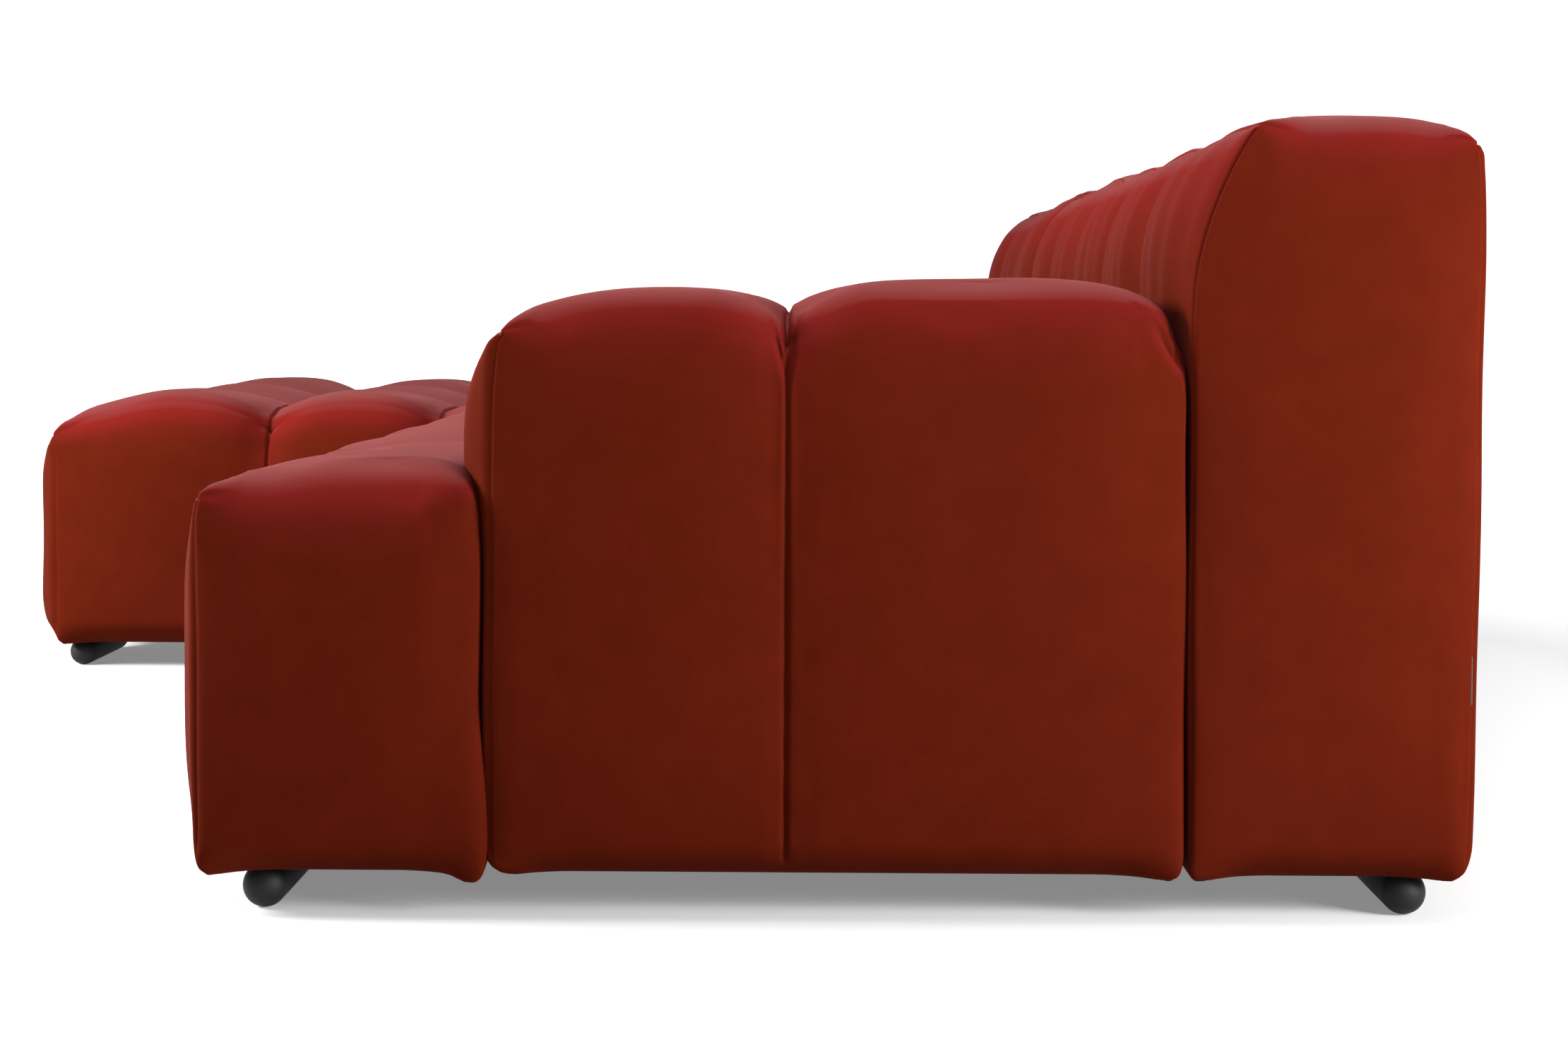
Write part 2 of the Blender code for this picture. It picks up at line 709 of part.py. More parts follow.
def add_bolt(joint):
    """A bolt whose head bears on the inner face of its block's rail."""
    head = joint.face - joint.way * HEAD_SEAT
    parent = element_of(joint.block)
    turned(joint.name, bolt_profile(), FASTENER_STEPS, STEEL, parent, head, -joint.way)


def end_surface(block, y, heights):
    """How far along X the end of a block's cover reaches at this depth, at the highest of some heights."""
    mesh = cover_mesh(block)
    points = [vertex.co.copy() for vertex in mesh.vertices]
    tree = BVHTree.FromPolygons(points, [tuple(face.vertices) for face in mesh.polygons])
    bpy.data.meshes.remove(mesh)
    outside = block.high.x + OVERCUT
    hits = [tree.ray_cast(Vector((outside, y, z)), Vector((-1, 0, 0)))[0] for z in heights]
    return max(hit.x for hit in hits)


def add_tag():
    """A bare woven tag, sewn into the rear seam of the back's end."""
    heights = (TAG_RISE, TAG_RISE + TAG_HEIGHT)
    seam = min(quilted(MAIN_BACK, Vector((MAIN_BACK.high.x, MAIN_BACK.high.y, z))).y for z in heights)
    low_y = seam - TAG_SEWN_IN
    start = end_surface(MAIN_BACK, low_y, heights) + CLEARANCE
    low = Vector((start, low_y, heights[0]))
    high = Vector((start + TAG_THICKNESS, low_y + TAG_WIDTH, heights[1]))
    add_part("woven_tag", box_mesh("woven_tag", (low, high)), TAG_WEAVE, ELEMENTS["main_element"])


def build_sofa():
    """Make every part of the sofa."""
    joints = joints_between()
    bolt_holes = add_cutter("bolt_holes", rod_mesh("bolt_holes", *[bolt_hole(joint) for joint in joints]))
    stud_rods = [stud_rod(foot, CLEARANCE) for foot in FEET]
    stud_holes = add_cutter("stud_holes", rod_mesh("stud_holes", *stud_rods))
    pockets = add_cutter("foot_pockets", box_mesh("foot_pockets", *[foot_pocket(foot) for foot in FEET]))
    reach = Vector((ARM_END_X, REAR_Y, 0.0)) * 2
    floor = add_cutter(
        "floor", box_mesh("floor", (-reach - Vector((0, 0, FOOT_RADIUS)), reach))
    )
    seat_plane = BASE_HEIGHT - CLEARANCE
    above = (
        -reach + Vector((0, 0, seat_plane)),
        reach + Vector((0, 0, seat_plane + FOOT_RADIUS)),
    )
    underside = add_cutter("underside", box_mesh("underside", above))

    for block in MAIN_BLOCKS + CHAISE_BLOCKS:
        add_cover(block, bolt_holes, pockets)
        add_dust_cover(block, stud_holes)
    frames = []
    for block in SEAT_BLOCKS:
        frames.append(add_seat_frame(block))
        add_seat_webbing(block)
        add_seat_foam(block)
    for block in BACK_BLOCKS:
        frames.append(add_back_frame(block))
        add_back_webbing(block)
        add_back_foam(block)
    frames.append(add_arm_frame(ARM))
    add_arm_foam(ARM)
    for frame in frames:
        cut(frame, bolt_holes)
        cut(frame, stud_holes)
    for foot in FEET:
        add_foot(foot, (floor, underside), stud_holes)
    for joint in joints:
        add_bolt(joint)
    add_tag()


build_sofa()
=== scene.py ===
"""Looks of a lounge sofa with a chaise: channel-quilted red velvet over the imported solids."""

import logging
import math
from dataclasses import dataclass, field
from enum import Enum

import bpy
import numpy as np
from bpy.types import Material, Node, NodeSocket, NodeTree, Object
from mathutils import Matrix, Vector


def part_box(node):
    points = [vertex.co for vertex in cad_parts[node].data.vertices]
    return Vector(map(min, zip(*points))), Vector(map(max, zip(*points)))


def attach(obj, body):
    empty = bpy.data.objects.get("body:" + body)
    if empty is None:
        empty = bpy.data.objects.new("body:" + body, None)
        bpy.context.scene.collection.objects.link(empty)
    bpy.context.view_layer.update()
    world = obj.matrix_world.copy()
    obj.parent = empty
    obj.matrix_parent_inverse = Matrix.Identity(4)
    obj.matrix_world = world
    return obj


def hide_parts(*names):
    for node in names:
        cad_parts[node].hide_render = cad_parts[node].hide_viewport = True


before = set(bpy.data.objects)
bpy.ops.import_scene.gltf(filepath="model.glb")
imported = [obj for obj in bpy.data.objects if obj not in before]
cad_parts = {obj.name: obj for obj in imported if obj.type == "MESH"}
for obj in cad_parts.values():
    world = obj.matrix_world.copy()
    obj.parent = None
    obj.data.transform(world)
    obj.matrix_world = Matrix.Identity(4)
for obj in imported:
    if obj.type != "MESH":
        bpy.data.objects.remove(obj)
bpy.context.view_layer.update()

log = logging.getLogger("sofa")

Array = np.ndarray
Pair = tuple[float, float]
Triple = tuple[float, float, float]
Numbers = tuple[float, ...]

BODY = "root"
MILLIMETRE = 0.001

# The grid that the solids are set out on.
ARM_END_X = 1.300
ARM_X = 0.975
JUNCTION_X = -0.325
CHAISE_END_X = -1.300
CHANNEL_WIDTH = 0.325
ARM_CHANNEL = 0.1625
CHAISE_ROW_Y = -0.538
SEAT_Y = -0.268
ARM_Y = -0.008
ROW_Y = 0.254
BACK_Y = 0.606
HEM_HEIGHT = 0.034
BACK_TOP = 0.700

# The backs' side profile: the front rolls back towards the top and the rear leans in towards the floor.
BACK_ROLL_DEPTH = 0.060
BACK_ROLL_HEIGHT = 0.175
BACK_REAR_LEAN = 0.010
BACK_LEAN_HEIGHT = 0.540
BACK_ROLL_LIMIT = 1.1

# Padding and sewing.
CHANNEL_POWER = 2.8
LIFT_REACH = 0.140
GROOVE_DEPTH = 0.0034
GROOVE_WIDTH = 0.0025
EDGE_DEPTH = 0.0016
EDGE_WIDTH = 0.0028
SEWN_RISE = 0.030
PINCH_DEPTH = 0.0080
PINCH_WIDTH = 0.0280
CORNER_DEPTH = 0.0015
CORNER_WIDTH = 0.0180
PLEAT_DEPTH = 0.0050
PLEAT_HEIGHT = 0.0480
PLEAT_RUN = 0.0360
PLEAT_HALF_WIDTH = 0.0085
DIP_WIDTH = 0.0360
DIP_HEIGHT = 0.0900
DIP_RUN = 0.0900
PUCKER_DEPTH = 0.0008
PUCKER_LENGTH = 0.034
PUCKER_REACH = 0.030
WANDER_DEPTH = 0.0014
WANDER_LENGTH = 0.24
WANDER_RISE = 0.050
WANDER_WAVES = 6
FINE_WAVES = 8
WAVE_SPREAD = (0.7, 1.4)
FOLD_DEPTH = 0.0010
FOLD_LENGTH = 0.060
FOLD_STRETCH = (1.0, 0.3, 0.15)
FOLD_LEAN = 2.0 / 3.0
CREASE_FELT = np.array((0.1, 1.0, 1.0))
CREASE_FADE = (0.1, 0.8)
CAVITY_GAP = 0.0004
TOLERANCE = 1e-6
SHORTEST = 1e-9

# How far a point's direction has to lean towards a side for it to count as part of that side.
ON_SIDE = 0.75
ON_TOUCHED_SIDE = 0.6
ON_TOP = 0.3

# The coarse cuts of a block: how far they are from each line, and how far apart between the lines.
CUTS_BESIDE = (0.006, 0.018, 0.040)
CUT_SPREAD = 0.046
CUT_MERGE = 1e-5

# The cloth step: how far it may move a point, which points the thread holds, and the cloth, which is cut
# slightly shorter than the room that it fills.
CLOTH_FRAMES = 20
CLOTH_LIMIT = 0.004
PIN_REACH = 0.0045
CLOTH = {
    "quality": 4,
    "mass": 0.35,
    "tension_stiffness": 15.0,
    "compression_stiffness": 15.0,
    "shear_stiffness": 8.0,
    "bending_stiffness": 0.5,
    "air_damping": 4.0,
    "use_pressure": True,
    "uniform_pressure_force": 2.0,
    "shrink_min": 0.004,
}

WHITE = (1.0, 1.0, 1.0, 1.0)


class Line(Enum):
    """How a panel ends at a line of the grid."""

    SEWN = "sewn"
    ROLLED = "rolled"


class Side(Enum):
    """A side of a block: its axis and its direction."""

    FAR_END = (0, -1)
    NEAR_END = (0, 1)
    FRONT = (1, -1)
    REAR = (1, 1)


def linear(colour: str) -> tuple[float, float, float, float]:
    """Turn an sRGB hex colour into linear light.

    Args:
        colour: Six hex digits after a hash sign.

    Returns:
        Red, green, blue and an alpha of one.
    """
    parts = [int(colour[place : place + 2], 16) / 255 for place in (1, 3, 5)]
    light = [part / 12.92 if part <= 0.04045 else ((part + 0.055) / 1.055) ** 2.4 for part in parts]
    return (*light, 1.0)


def per_metre(size_mm: float) -> float:
    """Scale of a noise whose features are this many millimetres apart."""
    return 1000.0 / size_mm


def wire(tree: NodeTree, target: Node, inputs: dict) -> None:
    """Set or link a node's inputs.

    Args:
        tree: The node's tree.
        target: The node.
        inputs: Values, or sockets of other nodes, for its inputs by name or index.
    """
    for name, value in inputs.items():
        if isinstance(value, NodeSocket):
            tree.links.new(value, target.inputs[name])
        else:
            target.inputs[name].default_value = value


def node(
    tree: NodeTree, kind: str, inputs: dict | None = None, **settings: object
) -> Node:
    """Add a node with its settings and links.

    Args:
        tree: The node's tree.
        kind: Blender's name for the kind of node.
        inputs: Values, or sockets of other nodes, for its inputs by name or index.
        settings: The node's own properties.

    Returns:
        The new node.
    """
    made = tree.nodes.new(kind)
    for name, value in settings.items():
        setattr(made, name, value)
    wire(tree, made, inputs or {})
    return made


def blank_material(name: str) -> tuple[Material, NodeTree, NodeSocket]:
    """Start a material.

    Args:
        name: Its name.

    Returns:
        The material, its node tree and the Object coordinates in it.
    """
    material = bpy.data.materials.new(name)
    material.use_nodes = True
    tree = material.node_tree
    return material, tree, node(tree, "ShaderNodeTexCoord").outputs["Object"]


def smooth_rise(values: Array) -> Array:
    """Smooth step of values from 0 to 1."""
    held = np.clip(values, 0.0, 1.0)
    return held * held * (3.0 - 2.0 * held)


def deselect_all() -> None:
    """Leave edit mode and select nothing."""
    if bpy.context.object is not None and bpy.context.object.mode != "OBJECT":
        bpy.ops.object.mode_set(mode="OBJECT")
    for item in list(bpy.context.selected_objects):
        item.select_set(False)


def finish_modifier(piece: Object, kind: str, **settings: object) -> None:
    """Add a modifier to a piece and apply it.

    Args:
        piece: The active mesh object.
        kind: Blender's name for the kind of modifier.
        settings: The modifier's properties.
    """
    modifier = piece.modifiers.new(kind.title(), kind)
    for name, value in settings.items():
        setattr(modifier, name, value)
    bpy.context.view_layer.objects.active = piece
    bpy.ops.object.modifier_apply(modifier=modifier.name)


def points_of(piece: Object) -> Array:
    """All of a mesh's points, one row each.

    Args:
        piece: The mesh object.

    Returns:
        The points in the mesh's order.
    """
    values = np.empty(len(piece.data.vertices) * 3, np.float32)
    piece.data.vertices.foreach_get("co", values)
    return values.reshape(-1, 3).astype(float)


def set_points(piece: Object, points: Array) -> None:
    """Move all of a mesh's points."""
    piece.data.vertices.foreach_set("co", points.astype(np.float32).ravel())
    piece.data.update()


def boxed(name: str, low: Array, high: Array) -> Object:
    """Add a box between two corners, with its place in its mesh.

    Args:
        name: The piece's name.
        low: Its lowest corner.
        high: Its highest corner.

    Returns:
        The box, which is active and alone selected.
    """
    deselect_all()
    bpy.ops.mesh.primitive_cube_add(size=1.0, location=(low + high) / 2, scale=high - low)
    bpy.ops.object.transform_apply(location=True, rotation=True, scale=True)
    piece = bpy.context.object
    piece.name = piece.data.name = name
    return piece


def cut(middle: Array, axis: int, places: list[float], merge: float = 1e-4) -> None:
    """Cut the mesh in edit mode across an axis.

    Args:
        middle: A point in the mesh.
        axis: The axis that the cuts stand across.
        places: Where along the axis the cuts are.
        merge: How close to a cut a point already counts as on it.
    """
    normal = [0.0, 0.0, 0.0]
    normal[axis] = 1.0
    for place in places:
        bpy.ops.mesh.select_all(action="SELECT")
        point = list(middle)
        point[axis] = place
        bpy.ops.mesh.bisect(plane_co=point, plane_no=normal, threshold=merge)


@dataclass(frozen=True)
class Velvet:
    """Cut-pile polyester velvet: deep, matt colour head on, a pale bloom where the pile is edge on, and a
    painted highlight on faces that lean up.
    """

    name: str = "polyester_velvet"
    shade: str = "#3c0d03"
    light: str = "#441005"
    # The lip and upper tones are a painted highlight: redder on faces that lean a little up, paler on faces
    # that face up, standing in for light from above and the left.
    lip_painted_highlight: str = "#4d0e0b"
    upper: str = "#542726"
    bloom: str = "#ff9696"
    roughness: float = 0.80
    gloss: float = 0.012
    sheen: float = 0.04
    sheen_roughness: float = 0.28
    # Upward lean of the normal over which each painted highlight tone comes in.
    lip_painted_highlight_facing: Pair = (0.05, 0.55)
    upper_painted_highlight_facing: Pair = (0.58, 0.97)
    brushed_patch_mm: float = 210.0
    nap_mm: float = 34.0
    pile_mm: float = 2.2

    def make(self) -> Material:
        """Make the material.

        Returns:
            A material on Object coordinates.
        """
        material, tree, place = blank_material(self.name)
        noises = []
        for size, detail, rough in (
            (self.brushed_patch_mm, 3.0, 0.55),
            (self.nap_mm, 4.0, 0.6),
            (self.pile_mm, 2.0, 0.7),
        ):
            pattern = {"Vector": place, "Scale": per_metre(size), "Detail": detail, "Roughness": rough}
            noises.append(node(tree, "ShaderNodeTexNoise", pattern).outputs["Fac"])
        patches, nap, pile = noises
        both = node(tree, "ShaderNodeMath", {0: patches, 1: nap}, operation="ADD").outputs["Value"]
        share = node(tree, "ShaderNodeMapRange", {"Value": both, "From Min": 0.6, "From Max": 1.4})
        mixed = {"Factor": share.outputs["Result"], 6: linear(self.shade), 7: linear(self.light)}
        nap_colour_and_painted_highlight = node(tree, "ShaderNodeMix", mixed, data_type="RGBA").outputs[2]
        # Painted highlight: faces that lean up are painted redder, then paler, by the height of their
        # normal.
        way = node(tree, "ShaderNodeNewGeometry").outputs["Normal"]
        facing = node(tree, "ShaderNodeSeparateXYZ", {"Vector": way}).outputs["Z"]
        for painted_highlight_tone, (start, end) in ((self.lip_painted_highlight, self.lip_painted_highlight_facing), (self.upper, self.upper_painted_highlight_facing)):
            painted_highlight_share = node(tree, "ShaderNodeMapRange", {"Value": facing, "From Min": start, "From Max": end})
            mixed = {"Factor": painted_highlight_share.outputs["Result"], 6: nap_colour_and_painted_highlight, 7: linear(painted_highlight_tone)}
            nap_colour_and_painted_highlight = node(tree, "ShaderNodeMix", mixed, data_type="RGBA").outputs[2]
        raised = {"Height": pile, "Strength": 0.25, "Distance": 0.4 * MILLIMETRE}
        inputs = {
            "Base Color": nap_colour_and_painted_highlight,
            "Normal": node(tree, "ShaderNodeBump", raised).outputs["Normal"],
            "Roughness": self.roughness,
            "Specular IOR Level": self.gloss,
            "Sheen Weight": self.sheen,
            "Sheen Roughness": self.sheen_roughness,
            "Sheen Tint": linear(self.bloom),
        }
        wire(tree, tree.nodes["Principled BSDF"], inputs)
        return material


@dataclass(frozen=True)
class Plain:
    """A finish of two near shades mixed by a stretched noise, with a bump of the same grain."""

    name: str
    dark: str
    pale: str
    roughness: float
    grain_mm: Triple
    bump_mm: float = 0.1
    metallic: float = 0.0
    contrast: float = 0.25

    def make(self) -> Material:
        """Make the material.

        Returns:
            A material on Object coordinates.
        """
        material, tree, place = blank_material(self.name)
        scale = [per_metre(size) for size in self.grain_mm]
        turned = node(tree, "ShaderNodeMapping", {"Vector": place, "Scale": scale}).outputs["Vector"]
        pattern = {"Vector": turned, "Scale": 1.0, "Detail": 4.0, "Roughness": 0.6}
        grain = node(tree, "ShaderNodeTexNoise", pattern).outputs["Fac"]
        reach = {"Value": grain, "From Min": 0.5 - self.contrast, "From Max": 0.5 + self.contrast}
        share = node(tree, "ShaderNodeMapRange", reach).outputs["Result"]
        mixed = {"Factor": share, 6: linear(self.dark), 7: linear(self.pale)}
        raised = {"Height": grain, "Strength": 0.5, "Distance": self.bump_mm * MILLIMETRE}
        inputs = {
            "Base Color": node(tree, "ShaderNodeMix", mixed, data_type="RGBA").outputs[2],
            "Normal": node(tree, "ShaderNodeBump", raised).outputs["Normal"],
            "Roughness": self.roughness,
            "Metallic": self.metallic,
        }
        wire(tree, tree.nodes["Principled BSDF"], inputs)
        return material


@dataclass(frozen=True)
class MouldedPlastic:
    """Injection-moulded ABS with a fine spark texture: near black, with a broad dull highlight."""

    name: str = "moulded_black_abs"
    dark: str = "#080709"
    pale: str = "#0d0c0e"
    roughness: Pair = (0.56, 0.68)
    ior: float = 1.53
    gloss: float = 0.25
    texture_mm: float = 1.4
    cloud_mm: float = 45.0

    def make(self) -> Material:
        """Make the material.

        Returns:
            A material on Object coordinates.
        """
        material, tree, place = blank_material(self.name)
        pattern = {"Vector": place, "Scale": per_metre(self.cloud_mm), "Detail": 3.0}
        cloud = node(tree, "ShaderNodeTexNoise", pattern).outputs["Fac"]
        mixed = {"Factor": cloud, 6: linear(self.dark), 7: linear(self.pale)}
        dull = {"Value": cloud, "To Min": self.roughness[0], "To Max": self.roughness[1]}
        pattern = {"Vector": place, "Scale": per_metre(self.texture_mm), "Detail": 2.0}
        texture = node(tree, "ShaderNodeTexNoise", pattern).outputs["Fac"]
        raised = {"Height": texture, "Strength": 0.2, "Distance": 0.05 * MILLIMETRE}
        inputs = {
            "Base Color": node(tree, "ShaderNodeMix", mixed, data_type="RGBA").outputs[2],
            "Roughness": node(tree, "ShaderNodeMapRange", dull).outputs["Result"],
            "Normal": node(tree, "ShaderNodeBump", raised).outputs["Normal"],
            "IOR": self.ior,
            "Specular IOR Level": self.gloss,
        }
        wire(tree, tree.nodes["Principled BSDF"], inputs)
        return material


@dataclass(frozen=True)
class WovenTape:
    """Narrow woven polyester tape: black and matt, with ribs across it.

    The ribs are drawn 1.1 mm apart, coarser than real ones, to show.
    """

    name: str = "woven_polyester_tape"
    dark: str = "#0b0b0c"
    pale: str = "#242426"
    rib_mm: float = 1.1
    roughness: float = 0.75

    def make(self) -> Material:
        """Make the material.

        Returns:
            A material on Object coordinates.
        """
        material, tree, place = blank_material(self.name)
        waves = {"Vector": place, "Scale": per_metre(self.rib_mm) * math.pi / 10, "Distortion": 0.6}
        ribs = node(tree, "ShaderNodeTexWave", waves, bands_direction="Z").outputs["Fac"]
        mixed = {"Factor": ribs, 6: linear(self.dark), 7: linear(self.pale)}
        raised = {"Height": ribs, "Strength": 0.6, "Distance": 0.2 * MILLIMETRE}
        inputs = {
            "Base Color": node(tree, "ShaderNodeMix", mixed, data_type="RGBA").outputs[2],
            "Normal": node(tree, "ShaderNodeBump", raised).outputs["Normal"],
            "Roughness": self.roughness,
        }
        wire(tree, tree.nodes["Principled BSDF"], inputs)
        return material


@dataclass(frozen=True)
class SeamlessPaper:
    """Matt white paper sweep with painted light: greyer near the sofa, where lights fall on it, and painted
    paler and glowing into the distance, where it comes out white.
    """

    name: str = "seamless_paper"
    # The paper's tone: grey near the sofa, painted paler into the distance, where less lamp light falls.
    lit: str = "#a8a8a8"
    distant_painted_white: str = "#fafafa"
    lit_reach: Pair = (1.6, 3.6)
    roughness: float = 0.95
    # Emission strength near and far: a painted glow, though the paper is no lamp, that lifts the sofa's
    # shadow and whitens the far floor.
    painted_glow: Pair = (0.24, 0.80)

    def make(self) -> Material:
        """Make the material.

        Returns:
            A material on Object coordinates.
        """
        material, tree, place = blank_material(self.name)
        away = node(tree, "ShaderNodeVectorMath", {0: place}, operation="LENGTH").outputs["Value"]
        reach = {"Value": away, "From Min": self.lit_reach[0], "From Max": self.lit_reach[1]}
        share = node(tree, "ShaderNodeMapRange", reach).outputs["Result"]
        # Painted light: the paper is painted paler and glows more the farther it is from the sofa.
        painted_glow_range = {**reach, "To Min": self.painted_glow[0], "To Max": self.painted_glow[1]}
        mixed = {"Factor": share, 6: linear(self.lit), 7: linear(self.distant_painted_white)}
        inputs = {
            "Base Color": node(tree, "ShaderNodeMix", mixed, data_type="RGBA").outputs[2],
            "Roughness": self.roughness,
            "Specular IOR Level": 0.0,
            "Emission Color": WHITE,
            "Emission Strength": node(tree, "ShaderNodeMapRange", painted_glow_range).outputs["Result"],
        }
        wire(tree, tree.nodes["Principled BSDF"], inputs)
        return material


@dataclass(frozen=True)
class Panel:
    """How one side of a block is padded.

    Args:
        swell: How far the crown stands out from the sewn lines.
        extra: Further swell where no neighbour is in the way.
        free_from: Height above which the extra swell grows.
        rise: Height over which it grows.
        free_before: Row line before which it stands, where a neighbour covers only the rear.
        across_power: How suddenly the swelling ends at the seams.
        top_power: How suddenly it ends at the top.
        hem_power: How suddenly it ends at the hem.
        ends_below: How far below the top it ends.
    """

    swell: float
    extra: float = 0.0
    free_from: float | None = None
    rise: float = 0.070
    free_before: float | None = None
    across_power: float = 3.0
    top_power: float = 5.0
    hem_power: float = 5.0
    ends_below: float = 0.0


TOUCHING = Panel(0.0010)


@dataclass(frozen=True)
class Rise:
    """How suddenly the top's padding rises from its row seams.

    A small power gives a long slope, and a large one a bulge.

    Args:
        first: Power behind the front edge.
        inner: Power beside the seams between rows.
        last: Power before the rear edge.
        front_kept: Share of the crown's height left at the front edge, where the cover runs on over it.
        valley: Share of the crown's height that is left midway along a seam between rows.
        end_dip: How far the cover is drawn in where a seam between rows meets an end.
    """

    first: float = 3.0
    inner: float = 3.0
    last: float = 4.0
    front_kept: float = 0.0
    valley: float = 0.4
    end_dip: float = 0.006


@dataclass(frozen=True)
class Rounding:
    """Radii of a block's edges: small where panels are sewn, large where the cover runs on over an edge.

    Args:
        seam: Of the end panels beside their upright seams.
        rear_lip: Share of the ends' roll along the top that runs on to the rear corner.
        roll: Of the ends along the top and the hem.
        front: Of the front panel beside its upright seams.
        rear: Of the rear panel beside its upright seams.
        upper_front: Of the front panel along the top, from front to rear.
        upper_rear: Of the rear panel along the top, from rear to front.
        front_edge: Of the top along its front edge, downwards.
        rear_edge: Of the top along its rear edge, downwards.
        top: Of the top elsewhere.
        hem: Of the hem, upwards.
        run: How far from an edge the radii change.
    """

    seam: float = 0.008
    rear_lip: float = 0.0
    roll: float = 0.042
    front: float = 0.041
    rear: float = 0.010
    upper_front: float = 0.041
    upper_rear: float = 0.012
    front_edge: float = 0.022
    rear_edge: float = 0.020
    top: float = 0.048
    hem: float = 0.034
    run: float = 0.070


@dataclass(frozen=True)
class Crease:
    """A fold that the pull of the cover leaves, along a line and fading at its ends.

    Args:
        start: Where it starts.
        end: Where it ends.
        depth: How deep it is.
        width: How wide it is.
    """

    start: Triple
    end: Triple
    depth: float
    width: float

    def at(self, points: Array) -> Array:
        """Depth of the fold at each point.

        Args:
            points: The points.

        Returns:
            The depths.
        """
        run = (np.array(self.end) - np.array(self.start)) * CREASE_FELT
        offset = (points - np.array(self.start)) * CREASE_FELT
        share = np.clip(offset @ run / (run @ run), 0.0, 1.0)
        away = np.linalg.norm(offset - share[:, None] * run, axis=1)
        first, span = CREASE_FADE
        fade = np.sin(math.pi * (first + span * share))
        return self.depth * fade * np.exp(-((away / self.width) ** 2))


@dataclass(frozen=True)
class Pull:
    """A pull on the cover, strongest at its place and gone at its reach.

    Args:
        place: Where it pulls.
        push: How far it moves the cover there.
        reach: How far it is felt along each axis.
    """

    place: Triple
    push: Triple
    reach: Triple

    def at(self, points: Array) -> Array:
        """Move of each point."""
        away = np.sum(((points - np.array(self.place)) / np.array(self.reach)) ** 2, axis=1)
        return np.clip(1.0 - away, 0.0, 1.0)[:, None] ** 2 * np.array(self.push)


